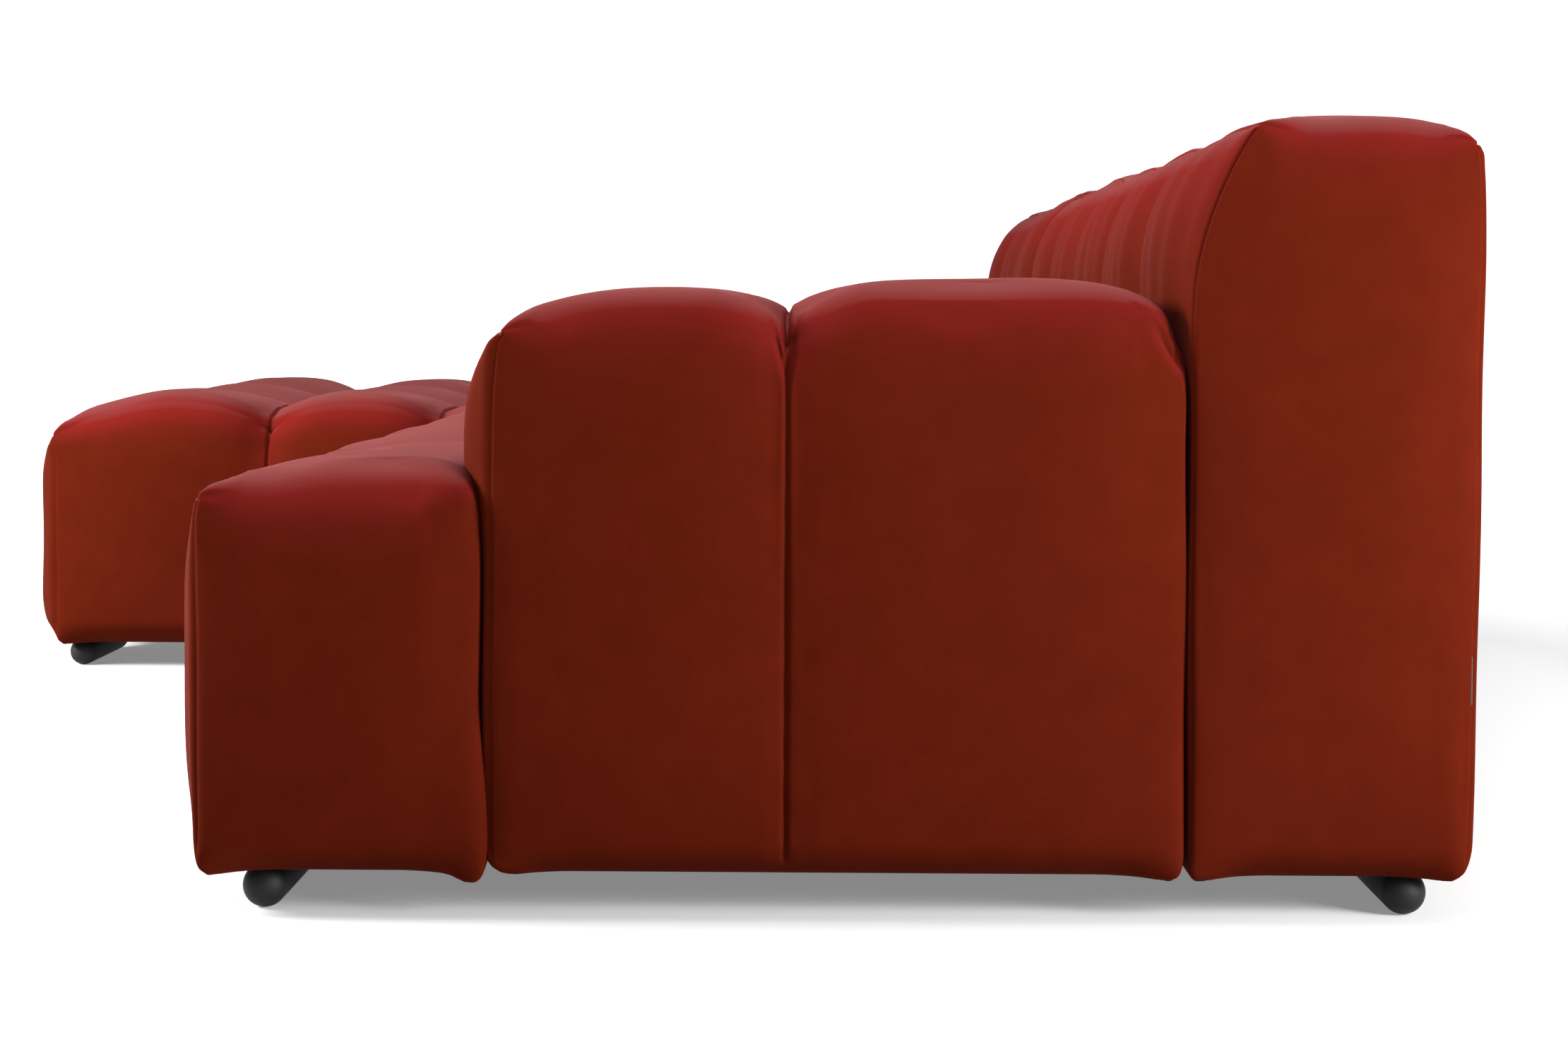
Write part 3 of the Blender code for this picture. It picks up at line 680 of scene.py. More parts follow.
@dataclass
class QuiltedBlock:
    """One upholstered block: a soft box with sewn channels, swollen between its seams."""

    name: str
    lines_x: Numbers
    lines_y: Numbers
    top: float
    crowns: Numbers
    panels: dict[Side, Panel]  # A side that isn't listed touches a neighbour.
    rise: Rise = Rise()
    fullness: Numbers | None = None
    rounding: Rounding = Rounding()
    rolled_back: bool = False
    creases: tuple[Crease, ...] = ()
    pulls: tuple[Pull, ...] = ()
    fine_cuts_y: Numbers = ()
    seed: int = 1
    piece: Object | None = field(default=None, repr=False)

    @property
    def sewn_box(self) -> tuple[Array, Array]:
        """Low and high corners of the sewn lines' box."""
        low = np.array((self.lines_x[0], self.lines_y[0], HEM_HEIGHT))
        return low, np.array((self.lines_x[-1], self.lines_y[-1], self.top))

    def build(self, finish: Material) -> Object:
        """Build the block and dress it.

        Args:
            finish: The upholstery's material.

        Returns:
            The finished piece, which replaces the block's cover.
        """
        self.rough_out()
        self.subdivide("SIMPLE")
        box = points_of(self.piece)
        set_points(self.piece, self.padded_form(box))
        self.settle(self.held(box))
        fine_box = self.fine_places(box)
        self.subdivide("CATMULL_CLARK")
        set_points(self.piece, self.sewn_form(fine_box, points_of(self.piece)))
        bpy.ops.object.shade_smooth()
        self.piece.data.materials.append(finish)
        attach(self.piece, BODY)
        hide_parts(f"{self.name}_cover")
        return self.piece

    def subdivide(self, kind: str) -> None:
        """Halve the mesh's faces once, flat or smoothed."""
        levels = {"levels": 1, "render_levels": 1, "use_limit_surface": False}
        finish_modifier(self.piece, "SUBSURF", subdivision_type=kind, **levels)

    def fine_places(self, box: Array) -> Array:
        """Places on the cut box of the points that the next subdivision makes.

        Args:
            box: Places on the box of the present points.

        Returns:
            Places in the order of the finer mesh's points.
        """
        present = self.piece
        bpy.ops.object.duplicate()
        self.piece = bpy.context.object
        set_points(self.piece, box)
        self.subdivide("SIMPLE")
        places = points_of(self.piece)
        bpy.data.meshes.remove(self.piece.data)
        self.piece = present
        bpy.context.view_layer.objects.active = present
        present.select_set(True)
        return places

    def held(self, box: Array) -> Array:
        """Which points the thread, the hem, the frame or a neighbouring block holds.

        Args:
            box: Places on the cut box.

        Returns:
            True for each point that can't move.
        """
        _, lean = self.rounded(box)
        across, along, edges, _ = self.seam_distances(box, lean)
        held = np.minimum(np.minimum(across, along), edges) < PIN_REACH
        held |= box[:, 2] < HEM_HEIGHT + self.rounding.hem
        held |= self.in_hollow(box)
        for axis, sign in (side.value for side in Side if side not in self.panels):
            held |= lean[:, axis] * sign > ON_TOUCHED_SIDE
        return held

    def settle(self, held: Array) -> None:
        """Let the cover fill out as cloth under the padding's pressure.

        Args:
            held: Which points stay in place.
        """
        before = points_of(self.piece)
        group = self.piece.vertex_groups.new(name="held")
        group.add([int(index) for index in np.flatnonzero(held)], 1.0, "REPLACE")
        modifier = self.piece.modifiers.new("Cloth", "CLOTH")
        settings = modifier.settings
        settings.vertex_group_mass = group.name
        for name, value in CLOTH.items():
            setattr(settings, name, value)
        settings.effector_weights.gravity = 0.0
        modifier.collision_settings.use_collision = False
        modifier.point_cache.frame_end = CLOTH_FRAMES
        for step in range(1, CLOTH_FRAMES + 1):
            bpy.context.scene.frame_set(step)
        bpy.ops.object.modifier_apply(modifier=modifier.name)
        bpy.context.scene.frame_set(1)
        self.piece.vertex_groups.clear()
        moved = points_of(self.piece) - before
        length = np.linalg.norm(moved, axis=1, keepdims=True)
        limit = CLOTH_LIMIT * np.tanh(length / CLOTH_LIMIT)
        set_points(self.piece, before + moved * limit / np.maximum(length, SHORTEST))

    def cut_places(self, lines: Numbers) -> list[float]:
        """Places of the coarse cuts along one axis, close together beside each line.

        Args:
            lines: The axis's sewn lines, ends included.

        Returns:
            The places, without the box's two ends.
        """
        places = set(lines[1:-1])
        for start, end in zip(lines, lines[1:]):
            places.update([start + step for step in CUTS_BESIDE] + [end - step for step in CUTS_BESIDE])
            inner_start, inner_end = start + CUTS_BESIDE[-1], end - CUTS_BESIDE[-1]
            count = max(1, round((inner_end - inner_start) / CUT_SPREAD))
            places.update(inner_start + (inner_end - inner_start) * step / count for step in range(1, count))
        return sorted(places)

    def rough_out(self) -> None:
        """Add the box at its size and place, cut it along the grid, and hollow it from below."""
        low, high = self.sewn_box
        self.piece = boxed(f"{self.name}_upholstery", low, high)
        inner_low, inner_high = self.cavity()
        cuts = (
            [*self.cut_places(self.lines_x), inner_low[0], inner_high[0]],
            [*self.cut_places(self.lines_y), inner_low[1], inner_high[1], *self.fine_cuts_y],
            self.cut_places((low[2], high[2])),
        )
        bpy.ops.object.mode_set(mode="EDIT")
        for axis, places in enumerate(cuts):
            cut((low + high) / 2, axis, places, CUT_MERGE)
        self.hollow(inner_low, inner_high)
        bpy.ops.object.mode_set(mode="OBJECT")

    def cavity(self) -> tuple[Array, Array]:
        """Low and high corners of the room for the frame, the foam and what goes with them.

        Returns:
            The corners, a small gap outside the solids.
        """
        corners = [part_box(f"{self.name}_{inner}") for inner in ("frame", "foam", "dust_cover")]
        low = np.min([np.array(corner[0]) for corner in corners], axis=0) - CAVITY_GAP
        high = np.max([np.array(corner[1]) for corner in corners], axis=0) + CAVITY_GAP
        return low, high

    def hollow(self, inner_low: Array, inner_high: Array) -> None:
        """Push the cover's underside up into a room for the frame.

        Args:
            inner_low: Lowest corner of the room.
            inner_high: Highest corner of the room.
        """
        bpy.ops.mesh.select_all(action="DESELECT")
        bpy.ops.object.mode_set(mode="OBJECT")
        for face in self.piece.data.polygons:
            inside = all(inner_low[axis] < face.center[axis] < inner_high[axis] for axis in (0, 1))
            face.select = inside and face.center.z < HEM_HEIGHT + MILLIMETRE
        bpy.ops.object.mode_set(mode="EDIT")
        bpy.ops.mesh.select_mode(type="FACE")
        bpy.ops.mesh.dissolve_faces()
        rise = (0.0, 0.0, inner_high[2] - HEM_HEIGHT)
        bpy.ops.mesh.extrude_region_move(TRANSFORM_OT_translate={"value": rise})

    def shares(self, values: Array, lines: Numbers) -> tuple[Array, Array]:
        """Where points lie in their cells along one axis.

        Args:
            values: The points' places along the axis.
            lines: The axis's lines.

        Returns:
            Shares from -1 to 1 across each cell, and the cells' indices.
        """
        bounds = np.array(lines)
        cells = np.clip(np.searchsorted(bounds, values) - 1, 0, len(lines) - 2)
        start, end = bounds[cells], bounds[cells + 1]
        return np.clip((2 * values - start - end) / (end - start), -1.0, 1.0), cells

    def crown(self, values: Array, lines: Numbers, power: float, ends: Line) -> Array:
        """Swelling from 0 on the channel seams to 1 midway between them.

        Args:
            values: The points' places along the axis.
            lines: The axis's lines.
            power: How suddenly the swelling ends at the seams.
            ends: How the panel ends at the first and last line.

        Returns:
            The swelling of each point.
        """
        share, cells = self.shares(values, lines)
        fall = np.abs(share) ** power
        if ends is Line.ROLLED:
            at_end = ((cells == 0) & (share < 0)) | ((cells == len(lines) - 2) & (share > 0))
            fall = np.where(at_end, 0.0, fall)
        return 1.0 - fall

    def in_hollow(self, points: Array) -> Array:
        """Which points lie in the room for the frame.

        Args:
            points: Points on the box and in its hollow.

        Returns:
            True for each point inside.
        """
        inner_low, inner_high = self.cavity()
        inside = np.all((points > inner_low - TOLERANCE) & (points < inner_high + TOLERANCE), axis=1)
        return inside & (points[:, 2] > HEM_HEIGHT + TOLERANCE)

    def padded_form(self, points: Array) -> Array:
        """Turn the cut box into the padded form, before it is sewn.

        Args:
            points: Points on the box and in its hollow.

        Returns:
            The moved points. Those in the hollow stay.
        """
        moved, lean = self.rounded(points)
        weight = lean**2
        lift = smooth_rise((points[:, 2] - self.top + LIFT_REACH) / LIFT_REACH)
        moved[:, 2] += lift * self.top_swell(points)
        for side in Side:
            axis, sign = side.value
            panel = self.panels.get(side, TOUCHING)
            facing = weight[:, axis] * (np.sign(lean[:, axis]) == sign)
            moved[:, axis] += sign * facing * self.side_swell(points, side, panel)
        _, _, _, corners = self.seam_distances(points, lean)
        moved -= lean * self.pinches(points, lean, corners)[:, None]
        above = smooth_rise((points[:, 2:3] - HEM_HEIGHT) / WANDER_RISE)
        moved += lean * WANDER_DEPTH * self.ripple(points, WANDER_LENGTH, WANDER_WAVES)[:, None] * above
        if self.rolled_back:
            moved[:, 1] += self.back_profile(moved)
        hollow = self.in_hollow(points)
        moved[hollow] = points[hollow]
        return moved

    def sewn_form(self, places: Array, points: Array) -> Array:
        """Draw the padded form in along its seams.

        Args:
            places: Where each point lay on the cut box.
            points: The padded form's points.

        Returns:
            The moved points. Those in the hollow and under the block go back to their flat faces.
        """
        _, lean = self.rounded(places)
        across, along, edges, _ = self.seam_distances(places, lean)
        depth = np.zeros(len(places))
        for distance, deep, wide in (
            (across, GROOVE_DEPTH, GROOVE_WIDTH),
            (along, GROOVE_DEPTH, GROOVE_WIDTH),
            (edges, EDGE_DEPTH, EDGE_WIDTH),
        ):
            depth = np.maximum(depth, deep * np.exp(-((distance / wide) ** 2)))
        nearest = np.minimum(across, along)
        puckers = self.ripple(places, PUCKER_LENGTH, FINE_WAVES)
        depth += PUCKER_DEPTH * puckers * np.exp(-nearest / PUCKER_REACH)
        if self.rolled_back:
            folds = self.ripple(places * np.array(FOLD_STRETCH), FOLD_LENGTH, FINE_WAVES)
            depth += FOLD_DEPTH * folds * smooth_rise((-lean[:, 1] - FOLD_LEAN) / (1.0 - FOLD_LEAN))
        depth *= smooth_rise((places[:, 2] - HEM_HEIGHT) / SEWN_RISE)
        for crease in self.creases:
            depth += crease.at(points)
        moved = points - lean * depth[:, None]
        for pull in self.pulls:
            moved += pull.at(points)
        under = (places[:, 2] < HEM_HEIGHT + TOLERANCE) & (lean[:, 2] < TOLERANCE - 1.0)
        kept = self.in_hollow(places) | under
        moved[kept] = places[kept]
        return moved

    def rounded(self, points: Array) -> tuple[Array, Array]:
        """Round the box's edges.

        Args:
            points: Points on the box.

        Returns:
            The points on the rounded box, and the unit directions that they face.
        """
        low, high = self.sewn_box
        edges = self.rounding
        near_front = 1.0 - smooth_rise((points[:, 1] - low[1]) / edges.run)
        near_rear = 1.0 - smooth_rise((high[1] - points[:, 1]) / edges.run)
        near_top = smooth_rise((points[:, 2] - high[2]) / edges.run + 1.0)
        upper = points[:, 2] > (low[2] + high[2]) / 2
        pointed = np.maximum(near_front, near_rear * (1.0 - edges.rear_lip * near_top))
        sides = edges.roll + (edges.seam - edges.roll) * pointed
        front = edges.front + (edges.upper_front - edges.front) * near_top
        rear = edges.rear + (edges.upper_rear - edges.rear) * near_top
        depth = np.where(points[:, 1] < (low[1] + high[1]) / 2, front, rear)
        top = edges.top + (edges.front_edge - edges.top) * near_front
        top += (edges.rear_edge - edges.top) * near_rear
        radius = np.stack((sides, depth, np.where(upper, top, edges.hem)), axis=1)
        core = np.clip(points, low + radius, high - radius)
        lean = (points - core) / radius
        length = np.linalg.norm(lean, axis=1)
        lean /= np.maximum(length, SHORTEST)[:, None]
        return core + lean * radius, lean

    def top_swell(self, points: Array) -> Array:
        """How far the top stands above its seams.

        Args:
            points: Points on the box.

        Returns:
            The swelling of each point.
        """
        share, rows = self.shares(points[:, 1], self.lines_y)
        first = (rows == 0) & (share < 0)
        last = (rows == len(self.lines_y) - 2) & (share > 0)
        power = np.where(first, self.rise.first, np.where(last, self.rise.last, self.rise.inner))
        along = 1.0 - np.abs(share) ** power
        valley = np.where(first, self.rise.front_kept, np.where(last, 0.0, self.rise.valley))
        across = self.crown(points[:, 0], self.lines_x, CHANNEL_POWER, Line.ROLLED)
        height = np.array(self.crowns)[rows] * self.channel_fullness(points)
        return height * across * (along + valley * (1.0 - along))

    def channel_fullness(self, points: Array) -> Array:
        """How full each point's channel is, where channels differ.

        Args:
            points: Points on the box.

        Returns:
            A share of the crown's height.
        """
        if self.fullness is None:
            return np.ones(len(points))
        _, channels = self.shares(points[:, 0], self.lines_x)
        return np.array(self.fullness)[channels]

    def side_swell(self, points: Array, side: Side, panel: Panel) -> Array:
        """How far a side stands out from its seams.

        Args:
            points: Points on the box.
            side: The side.
            panel: Its padding.

        Returns:
            The swelling of each point.
        """
        axis, _ = side.value
        lines = self.lines_y if axis == 0 else self.lines_x
        across = self.crown(points[:, 1 - axis], lines, panel.across_power, Line.SEWN)
        ceiling = self.top - panel.ends_below
        share = (2 * points[:, 2] - HEM_HEIGHT - ceiling) / (ceiling - HEM_HEIGHT)
        power = np.where(share > 0, panel.top_power, panel.hem_power)
        upright = smooth_rise(1.0 - np.abs(np.clip(share, -1.0, 1.0)) ** power)
        free = np.ones(len(points))
        if panel.free_from is not None:
            free = smooth_rise((points[:, 2] - panel.free_from) / panel.rise)
        if panel.free_before is not None:
            free = free * (points[:, 1] < panel.free_before)
        return (panel.swell + panel.extra * free) * across * upright

    def seam_distances(self, points: Array, lean: Array) -> tuple[Array, Array, Array, Array]:
        """Distances from the seams, measured on the cut box.

        Args:
            points: Points on the box.
            lean: The directions that they face.

        Returns:
            Distances from the channel seams, the row seams, the edge seams and the corners.
        """
        low, high = self.sewn_box
        across, along, edges, corners = np.ones((4, len(points)))
        for line in self.lines_x[1:-1]:
            across = np.minimum(across, np.abs(points[:, 0] - line))
        across[np.abs(lean[:, 0]) > ON_SIDE] = 1.0
        for line in self.lines_y[1:-1]:
            along = np.minimum(along, np.abs(points[:, 1] - line))
        along[np.abs(lean[:, 1]) > ON_SIDE] = 1.0
        reach_z = np.abs(points[:, 2] - high[2])
        for y in (low[1], high[1]) if self.rolled_back else (low[1],):
            reach_y = np.abs(points[:, 1] - y)
            edges = np.minimum(edges, np.maximum(reach_y, reach_z))
            for x in (low[0], high[0]):
                reach_x = np.abs(points[:, 0] - x)
                edges = np.minimum(edges, np.maximum(reach_x, reach_y))
                corners = np.minimum(corners, np.sqrt(reach_x**2 + reach_y**2 + reach_z**2))
        return across, along, edges, corners

    def pinches(self, points: Array, lean: Array, corners: Array) -> Array:
        """How far the cover is drawn in where seams cross, at corners and in the pleats at the rolled ends.

        Args:
            points: Points on the box.
            lean: The directions that they face.
            corners: Their distances from the corners.

        Returns:
            The depth at each point.
        """
        low, high = self.sewn_box
        depth = CORNER_DEPTH * np.exp(-((corners / CORNER_WIDTH) ** 2))
        on_top = lean[:, 2] > ON_TOP
        for row in self.lines_y[1:-1]:
            reach_y = np.abs(points[:, 1] - row)
            for line in self.lines_x[1:-1]:
                reach = np.sqrt((points[:, 0] - line) ** 2 + reach_y**2)
                depth += PINCH_DEPTH * np.exp(-((reach / PINCH_WIDTH) ** 2)) * on_top
            for x in (low[0], high[0]):
                down = (high[2] - points[:, 2]) / PLEAT_HEIGHT + np.abs(points[:, 0] - x) / PLEAT_RUN
                left = np.clip(1.0 - down, 0.0, 1.0)
                width = PLEAT_HALF_WIDTH * left + MILLIMETRE
                depth += PLEAT_DEPTH * left * np.clip(1.0 - reach_y / width, 0.0, 1.0)
                down = (high[2] - points[:, 2]) / DIP_HEIGHT + np.abs(points[:, 0] - x) / DIP_RUN
                dip = self.rise.end_dip * smooth_rise(1.0 - down)
                depth += dip * np.exp(-((reach_y / DIP_WIDTH) ** 2))
        return depth

    def ripple(self, points: Array, length: float, waves: int) -> Array:
        """A seeded sum of waves through the block, from about -1 to 1.

        Args:
            points: The points.
            length: The waves' mean length.
            waves: How many waves are summed.

        Returns:
            The sum at each point.
        """
        draw = np.random.default_rng(self.seed)
        total = np.zeros(len(points))
        for _ in range(waves):
            heading = draw.normal(size=3)
            heading /= np.linalg.norm(heading)
            turn = 2 * math.pi * draw.uniform(*WAVE_SPREAD) / length
            total += np.sin(points @ heading * turn + draw.uniform(0, 2 * math.pi))
        return total / math.sqrt(waves)

    def back_profile(self, points: Array) -> Array:
        """How far a back's points move to the rear with its side profile.

        Args:
            points: The padded form's points.

        Returns:
            The move of each point along Y.
        """
        low, high = self.sewn_box
        share = np.clip((points[:, 1] - low[1]) / (high[1] - low[1]), 0.0, 1.0)
        roll = np.clip(1.0 - (BACK_TOP - points[:, 2]) / BACK_ROLL_HEIGHT, 0.0, BACK_ROLL_LIMIT)
        fall = np.clip(1.0 - (points[:, 2] - HEM_HEIGHT) / BACK_LEAN_HEIGHT, 0.0, 1.0)
        return (1.0 - share) * BACK_ROLL_DEPTH * roll**2 - share * BACK_REAR_LEAN * fall


@dataclass
class Sofa:
    """The upholstered blocks, from the arm's end to the chaise."""

    tuck: float = 0.004
    end_tuck: float = 0.006
    seat_top: float = 0.3720
    chaise_top: float = 0.3670
    arm_top: float = 0.5167
    back_top: float = 0.683
    seat_rows: Numbers = (-0.2570, -0.0065)
    arm_rows: Numbers = (-0.0060, ROW_Y + 0.004, 0.6045)
    back_rows: Numbers = (0.6055, 0.862)
    chaise_rows: Numbers = (-0.834, CHAISE_ROW_Y + 0.018, SEAT_Y, ARM_Y, ROW_Y)
    end_panel: Panel = Panel(0.007, across_power=9.0, top_power=2.5, hem_power=6.0)

    def blocks(self) -> list[QuiltedBlock]:
        """The blocks with their grids and padding.

        Returns:
            The blocks in the order in which they are built.
        """
        near = ARM_END_X - self.end_tuck
        far = CHAISE_END_X + self.end_tuck
        junction = JUNCTION_X + self.tuck
        chaise_edge = JUNCTION_X - self.tuck
        last_row = BACK_Y - self.tuck
        main_seams = tuple(JUNCTION_X + CHANNEL_WIDTH * step for step in range(1, 5))
        chaise_seams = tuple(CHAISE_END_X + CHANNEL_WIDTH * step for step in range(1, 3))
        main_lines = (junction, *main_seams, near)
        chaise_lines = (far, *chaise_seams, chaise_edge)
        back_front = Panel(0.003, 0.029, 0.400, rise=0.260, across_power=3.2, top_power=12.0)
        back_panels = {Side.FRONT: back_front, Side.REAR: Panel(0.008)}
        back = {
            "lines_y": self.back_rows,
            "top": self.back_top,
            "crowns": (0.018,),
            "rise": Rise(first=4.0, last=2.4, front_kept=0.75),
            "rounding": Rounding(
                front=0.008,
                rear=0.020,
                upper_front=0.010,
                upper_rear=0.030,
                front_edge=0.018,
                rear_edge=0.024,
            ),
            "rolled_back": True,
        }
        seat_front = QuiltedBlock(
            "seat_front",
            main_lines,
            self.seat_rows,
            self.seat_top,
            (0.0235,),
            {
                Side.FRONT: Panel(0.029, top_power=3.5, hem_power=2.6),
                Side.NEAR_END: self.end_panel,
            },
            rise=Rise(first=1.5, last=10.0),
            fullness=(1.15, 1.0, 1.0, 0.8, 1.0),
            rounding=Rounding(
                rear_lip=1.0,
                front=0.012,
                upper_front=0.012,
                front_edge=0.030,
                upper_rear=0.008,
                rear_edge=0.022,
            ),
            pulls=(
                Pull((1.28, -0.008, 0.080), (0.004, 0.008, 0.0), (0.10, 0.050, 0.120)),
                Pull((1.28, -0.020, 0.034), (0.0, 0.0, -0.006), (0.05, 0.020, 0.030)),
                Pull((0.81, -0.230, 0.385), (0.0, 0.0, -0.012), (0.13, 0.090, 0.080)),
            ),
            seed=11,
        )
        seat_rear = QuiltedBlock(
            "seat_rear",
            (junction, *main_seams[:-1], ARM_X - self.tuck),
            (ARM_Y + self.tuck, ROW_Y, last_row),
            self.seat_top,
            (0.024, 0.025),
            {},
            rounding=Rounding(front=0.012, upper_front=0.020, rear=0.008),
            seed=12,
        )
        arm = QuiltedBlock(
            "arm",
            (ARM_X + self.tuck, ARM_X + ARM_CHANNEL, near),
            self.arm_rows,
            self.arm_top,
            (0.0310, 0.0380),
            {
                Side.FRONT: Panel(0.0005, 0.023, 0.325, top_power=6.0, ends_below=0.0137),
                Side.NEAR_END: self.end_panel,
                Side.FAR_END: Panel(0.0035, 0.012, 0.39),
            },
            rise=Rise(first=2.0, inner=6.5, last=4.7, end_dip=0.013),
            rounding=Rounding(rear_lip=0.5, front=0.030, upper_rear=0.026, rear_edge=0.060),
            creases=(
                Crease((1.29, 0.577, 0.515), (1.29, 0.598, 0.480), 0.0060, 0.0035),
                Crease((1.28, 0.588, 0.521), (1.29, 0.597, 0.497), 0.0030, 0.0030),
                Crease((1.29, 0.2445, 0.532), (1.29, 0.2568, 0.472), 0.0065, 0.0024),
                Crease((1.29, 0.2675, 0.532), (1.29, 0.2592, 0.472), 0.0080, 0.0026),
            ),
            pulls=(Pull((1.28, 0.258, 0.535), (0.0, 0.0, -0.009), (0.100, 0.075, 0.070)),),
            fine_cuts_y=(0.2440, 0.2480, 0.2680, 0.2720),
            seed=13,
        )
        main_back = QuiltedBlock(
            "main_back",
            main_lines,
            panels={**back_panels, Side.NEAR_END: self.end_panel},
            fullness=(1.15, 1.45, 1.05, 1.05, 1.0),
            seed=14,
            **back,
        )
        chaise_seat = QuiltedBlock(
            "chaise_seat",
            chaise_lines,
            (*self.chaise_rows, last_row),
            self.chaise_top,
            (0.042, 0.040, 0.034, 0.030, 0.028),
            {
                Side.FRONT: Panel(0.038, across_power=5.0, top_power=3.3),
                Side.FAR_END: self.end_panel,
                Side.NEAR_END: Panel(0.0035, 0.009, free_before=SEAT_Y),
            },
            rise=Rise(first=1.2, inner=2.4, last=3.0, valley=0.30, end_dip=0.020),
            rounding=Rounding(front=0.012, upper_front=0.012, front_edge=0.040),
            pulls=tuple(
                Pull((end, -0.840, 0.360), (0.0, -0.008, -0.014), (0.150, 0.070, 0.060))
                for end in (chaise_edge, far)
            ),
            seed=15,
        )
        chaise_back = QuiltedBlock(
            "chaise_back",
            chaise_lines,
            panels={**back_panels, Side.FAR_END: self.end_panel},
            fullness=(1.70, 1.30, 1.55),
            seed=16,
            **back,
        )
        return [seat_front, seat_rear, arm, main_back, chaise_seat, chaise_back]

    def build(self, finish: Material) -> None:
        """Build every block.

        Args:
            finish: The upholstery's material.
        """
        for block in self.blocks():
            piece = block.build(finish)
            log.info("%s: %d faces", piece.name, len(piece.data.polygons))


@dataclass
class BolsterFeet:
    """The black bolsters that the sofa stands on: cylinders with round ends that lie under its edges."""

    segments: int = 56
    rings: int = 28
    waist: float = 0.01
    finish: MouldedPlastic = MouldedPlastic()

    def build(self) -> None:
        """Model one foot, and set a copy of it in place of each foot of the frame."""
        names = sorted(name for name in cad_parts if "_foot_" in name and "stud" not in name)
        material = self.finish.make()
        piece = None
        for name in names:
            low, high = (np.array(corner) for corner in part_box(name))
            if piece is None:
                piece = self.bolster(high - low)
                pattern = points_of(piece)
            else:
                bpy.ops.object.duplicate()
                piece = bpy.context.object
            set_points(piece, pattern + (low + high) / 2)
            piece.name = piece.data.name = f"{name}_moulding"
            piece.data.materials.clear()
            piece.data.materials.append(material)
            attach(piece, BODY)
            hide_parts(name)
            log.info("%s: %d faces", piece.name, len(piece.data.polygons))

    def bolster(self, size: Array) -> Object:
        """Model a foot about the origin.

        Args:
            size: Its length, depth and height.

        Returns:
            A ball drawn out along X.
        """
        deselect_all()
        radius = size[2] / 2
        bpy.ops.mesh.primitive_uv_sphere_add(segments=self.segments, ring_count=self.rings, radius=radius)
        piece = bpy.context.object
        bpy.ops.object.mode_set(mode="EDIT")
        bpy.ops.transform.rotate(
            value=math.pi / 2, orient_axis="Y", orient_type="GLOBAL", center_override=(0.0, 0.0, 0.0)
        )
        for sign in (-1, 1):
            bpy.ops.mesh.select_all(action="DESELECT")
            bpy.ops.object.mode_set(mode="OBJECT")
            for vertex in piece.data.vertices:
                vertex.select = vertex.co.x * sign > radius * self.waist
            bpy.ops.object.mode_set(mode="EDIT")
            bpy.ops.transform.translate(value=(sign * (size[0] / 2 - radius), 0.0, 0.0))
        bpy.ops.object.mode_set(mode="OBJECT")
        bpy.ops.object.shade_smooth()
        return piece


@dataclass
class SeamTag:
    """The bare woven loop that is caught in the rear seam of the back's end."""

    node_name: str = "woven_tag"
    cuts: int = 10
    lift: float = 0.0012
    curl: float = 0.4
    edge_mm: float = 0.35

    def build(self) -> None:
        """Model the tag in its node's place, slightly curled off the cover."""
        low, high = (np.array(corner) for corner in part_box(self.node_name))
        middle, size = (low + high) / 2, high - low
        piece = boxed("seam_tag", low, high)
        finish_modifier(piece, "BEVEL", width=self.edge_mm * MILLIMETRE, segments=2)
        bpy.ops.object.mode_set(mode="EDIT")
        for axis in (1, 2):
            cut(middle, axis, [low[axis] + size[axis] * step / self.cuts for step in range(1, self.cuts)])
        bpy.ops.object.mode_set(mode="OBJECT")
        points = points_of(piece)
        along = (points[:, 1] - low[1]) / size[1]
        up = (points[:, 2] - middle[2]) / size[2]
        points[:, 0] += self.lift * (1.0 - along) ** 2 * (self.curl + up)
        set_points(piece, points)
        bpy.ops.object.shade_smooth()
        piece.data.materials.append(WovenTape().make())
        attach(piece, BODY)
        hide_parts(self.node_name)
        log.info("%s: %d faces", piece.name, len(piece.data.polygons))


@dataclass
class InnerParts:
    """The carried-over solids inside and under the covers."""

    finishes: dict[str, Plain] = field(
        default_factory=lambda: {
            "frame": Plain("planed_pine", "#b98a55", "#d9b27c", 0.6, (12.0, 90.0, 9.0)),
            "foam": Plain("polyurethane_foam", "#cdbb7d", "#e3d69c", 0.95, (3.0, 3.0, 3.0), 0.6),
            "webbing": Plain("elastic_webbing", "#2a2a2c", "#3b3b3e", 0.85, (1.6, 1.6, 1.6), 0.3),
            "dust_cover": Plain("spun_bonded_cambric", "#141416", "#26262a", 0.9, (4.0, 4.0, 4.0), 0.1),
            "stud": Plain("zinc_plated_steel", "#9a9c9f", "#b9bbbd", 0.35, (6.0, 6.0, 6.0), 0.02, 1.0),
            "bolt": Plain("zinc_plated_steel_bolt", "#9a9c9f", "#b9bbbd", 0.35, (6.0, 6.0, 6.0), 0.02, 1.0),
        }
    )

    def dress(self) -> None:
        """Give every solid that still shows its material."""
        made = {key: finish.make() for key, finish in self.finishes.items()}
        for name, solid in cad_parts.items():
            if solid.hide_render:
                continue
            key = next(key for key in ("stud", "bolt", *made) if key in name)
            solid.data.materials.clear()
            solid.data.materials.append(made[key])


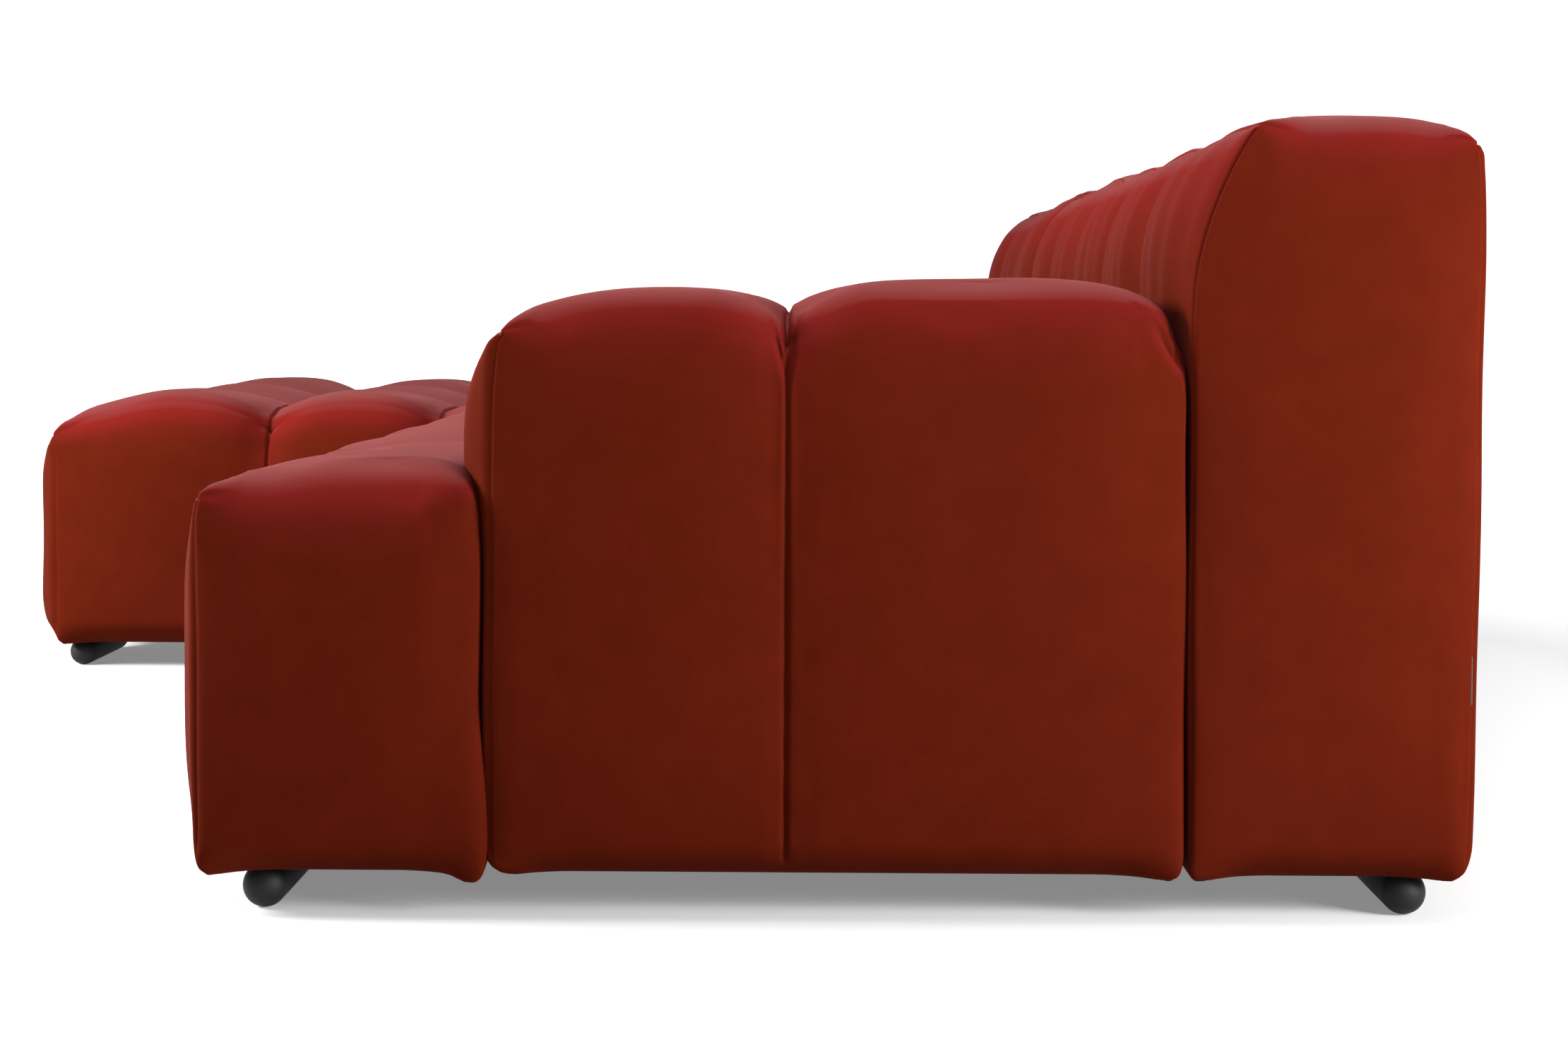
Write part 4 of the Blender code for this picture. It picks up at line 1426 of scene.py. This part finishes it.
@dataclass(frozen=True)
class Softbox:
    """A square soft light: its name, place and target, its side, and its power in watts."""

    name: str
    place: Triple
    target: Triple
    size: float
    power: float

    def hang(self) -> None:
        """Hang the light in its place, facing its target."""
        data = bpy.data.lights.new(self.name, "AREA")
        data.size = self.size
        data.energy = self.power
        lamp = bpy.data.objects.new(self.name, data)
        lamp.location = self.place
        heading = Vector(self.target) - Vector(self.place)
        lamp.rotation_euler = heading.to_track_quat("-Z", "Y").to_euler()
        bpy.context.scene.collection.objects.link(lamp)


@dataclass
class Studio:
    """Pale floor, soft lights and the photograph's camera."""

    image_width: int = 2220
    focal_px: float = 3823.0
    camera_place: Triple = (3.620, 0.280, 0.5242)
    pitch_deg: float = 1.0
    yaw_deg: float = 0.607
    roll_deg: float = -0.24
    shift: float = -0.1033
    sensor_mm: float = 36.0
    floor_size: float = 60.0
    backdrop: float = 1.25
    surround: float = 0.90
    room: float = 0.10
    room_reach: Pair = (0.2, 0.9)
    lamps: tuple[Softbox, ...] = (
        Softbox("overhead", (0.6, 0.1, 2.8), (0.6, 0.1, 0.3), 1.6, 112.0),
        Softbox("right", (2.3, 2.2, 0.9), (1.3, 0.7, 0.4), 0.8, 130.0),
        Softbox("left", (1.0, -2.7, 1.6), (-0.1, 0.2, 0.45), 1.0, 315.0),
    )

    def build(self) -> None:
        """Set up the floor, the lights and the camera."""
        self.lay_floor()
        self.light()
        self.place_camera()
        bpy.context.scene.view_settings.view_transform = "Standard"

    def lay_floor(self) -> None:
        """Lay a wide pale floor."""
        deselect_all()
        bpy.ops.mesh.primitive_plane_add(size=self.floor_size)
        floor = bpy.context.object
        floor.name = "floor"
        floor.data.materials.append(SeamlessPaper().make())

    def light(self) -> None:
        """Light the scene softly from all round, from above and from both sides."""
        world = bpy.data.worlds.new("studio")
        bpy.context.scene.world = world
        world.use_nodes = True
        tree = world.node_tree
        around = node(tree, "ShaderNodeTexCoord").outputs["Generated"]
        reach = {
            "Value": node(tree, "ShaderNodeSeparateXYZ", {"Vector": around}).outputs["X"],
            "From Min": self.room_reach[0],
            "From Max": self.room_reach[1],
            "To Min": self.surround,
            "To Max": self.room,
        }
        fade = node(tree, "ShaderNodeMapRange", reach).outputs["Result"]
        seen = node(tree, "ShaderNodeLightPath").outputs["Is Camera Ray"]
        mixed = {"Factor": seen, "A": fade, "B": self.backdrop}
        strength = node(tree, "ShaderNodeMix", mixed, data_type="FLOAT").outputs[0]
        wire(tree, tree.nodes["Background"], {"Color": WHITE, "Strength": strength})
        for lamp in self.lamps:
            lamp.hang()

    def place_camera(self) -> None:
        """Place the camera at the arm's end, looking along the sofa."""
        data = bpy.data.cameras.new("camera")
        data.sensor_width = self.sensor_mm
        data.lens = self.focal_px * self.sensor_mm / self.image_width
        data.shift_y = self.shift
        camera = bpy.data.objects.new("camera", data)
        camera.location = self.camera_place
        camera.rotation_euler = (
            math.radians(90.0 - self.pitch_deg),
            math.radians(self.roll_deg),
            math.radians(90.0 + self.yaw_deg),
        )
        bpy.context.scene.collection.objects.link(camera)
        bpy.context.scene.camera = camera


def main() -> None:
    """Build the sofa's looks and its studio."""
    logging.basicConfig(level=logging.INFO, format="%(message)s")
    Sofa().build(Velvet().make())
    BolsterFeet().build()
    SeamTag().build()
    InnerParts().dress()
    Studio().build()


if __name__ == "__main__":
    main()
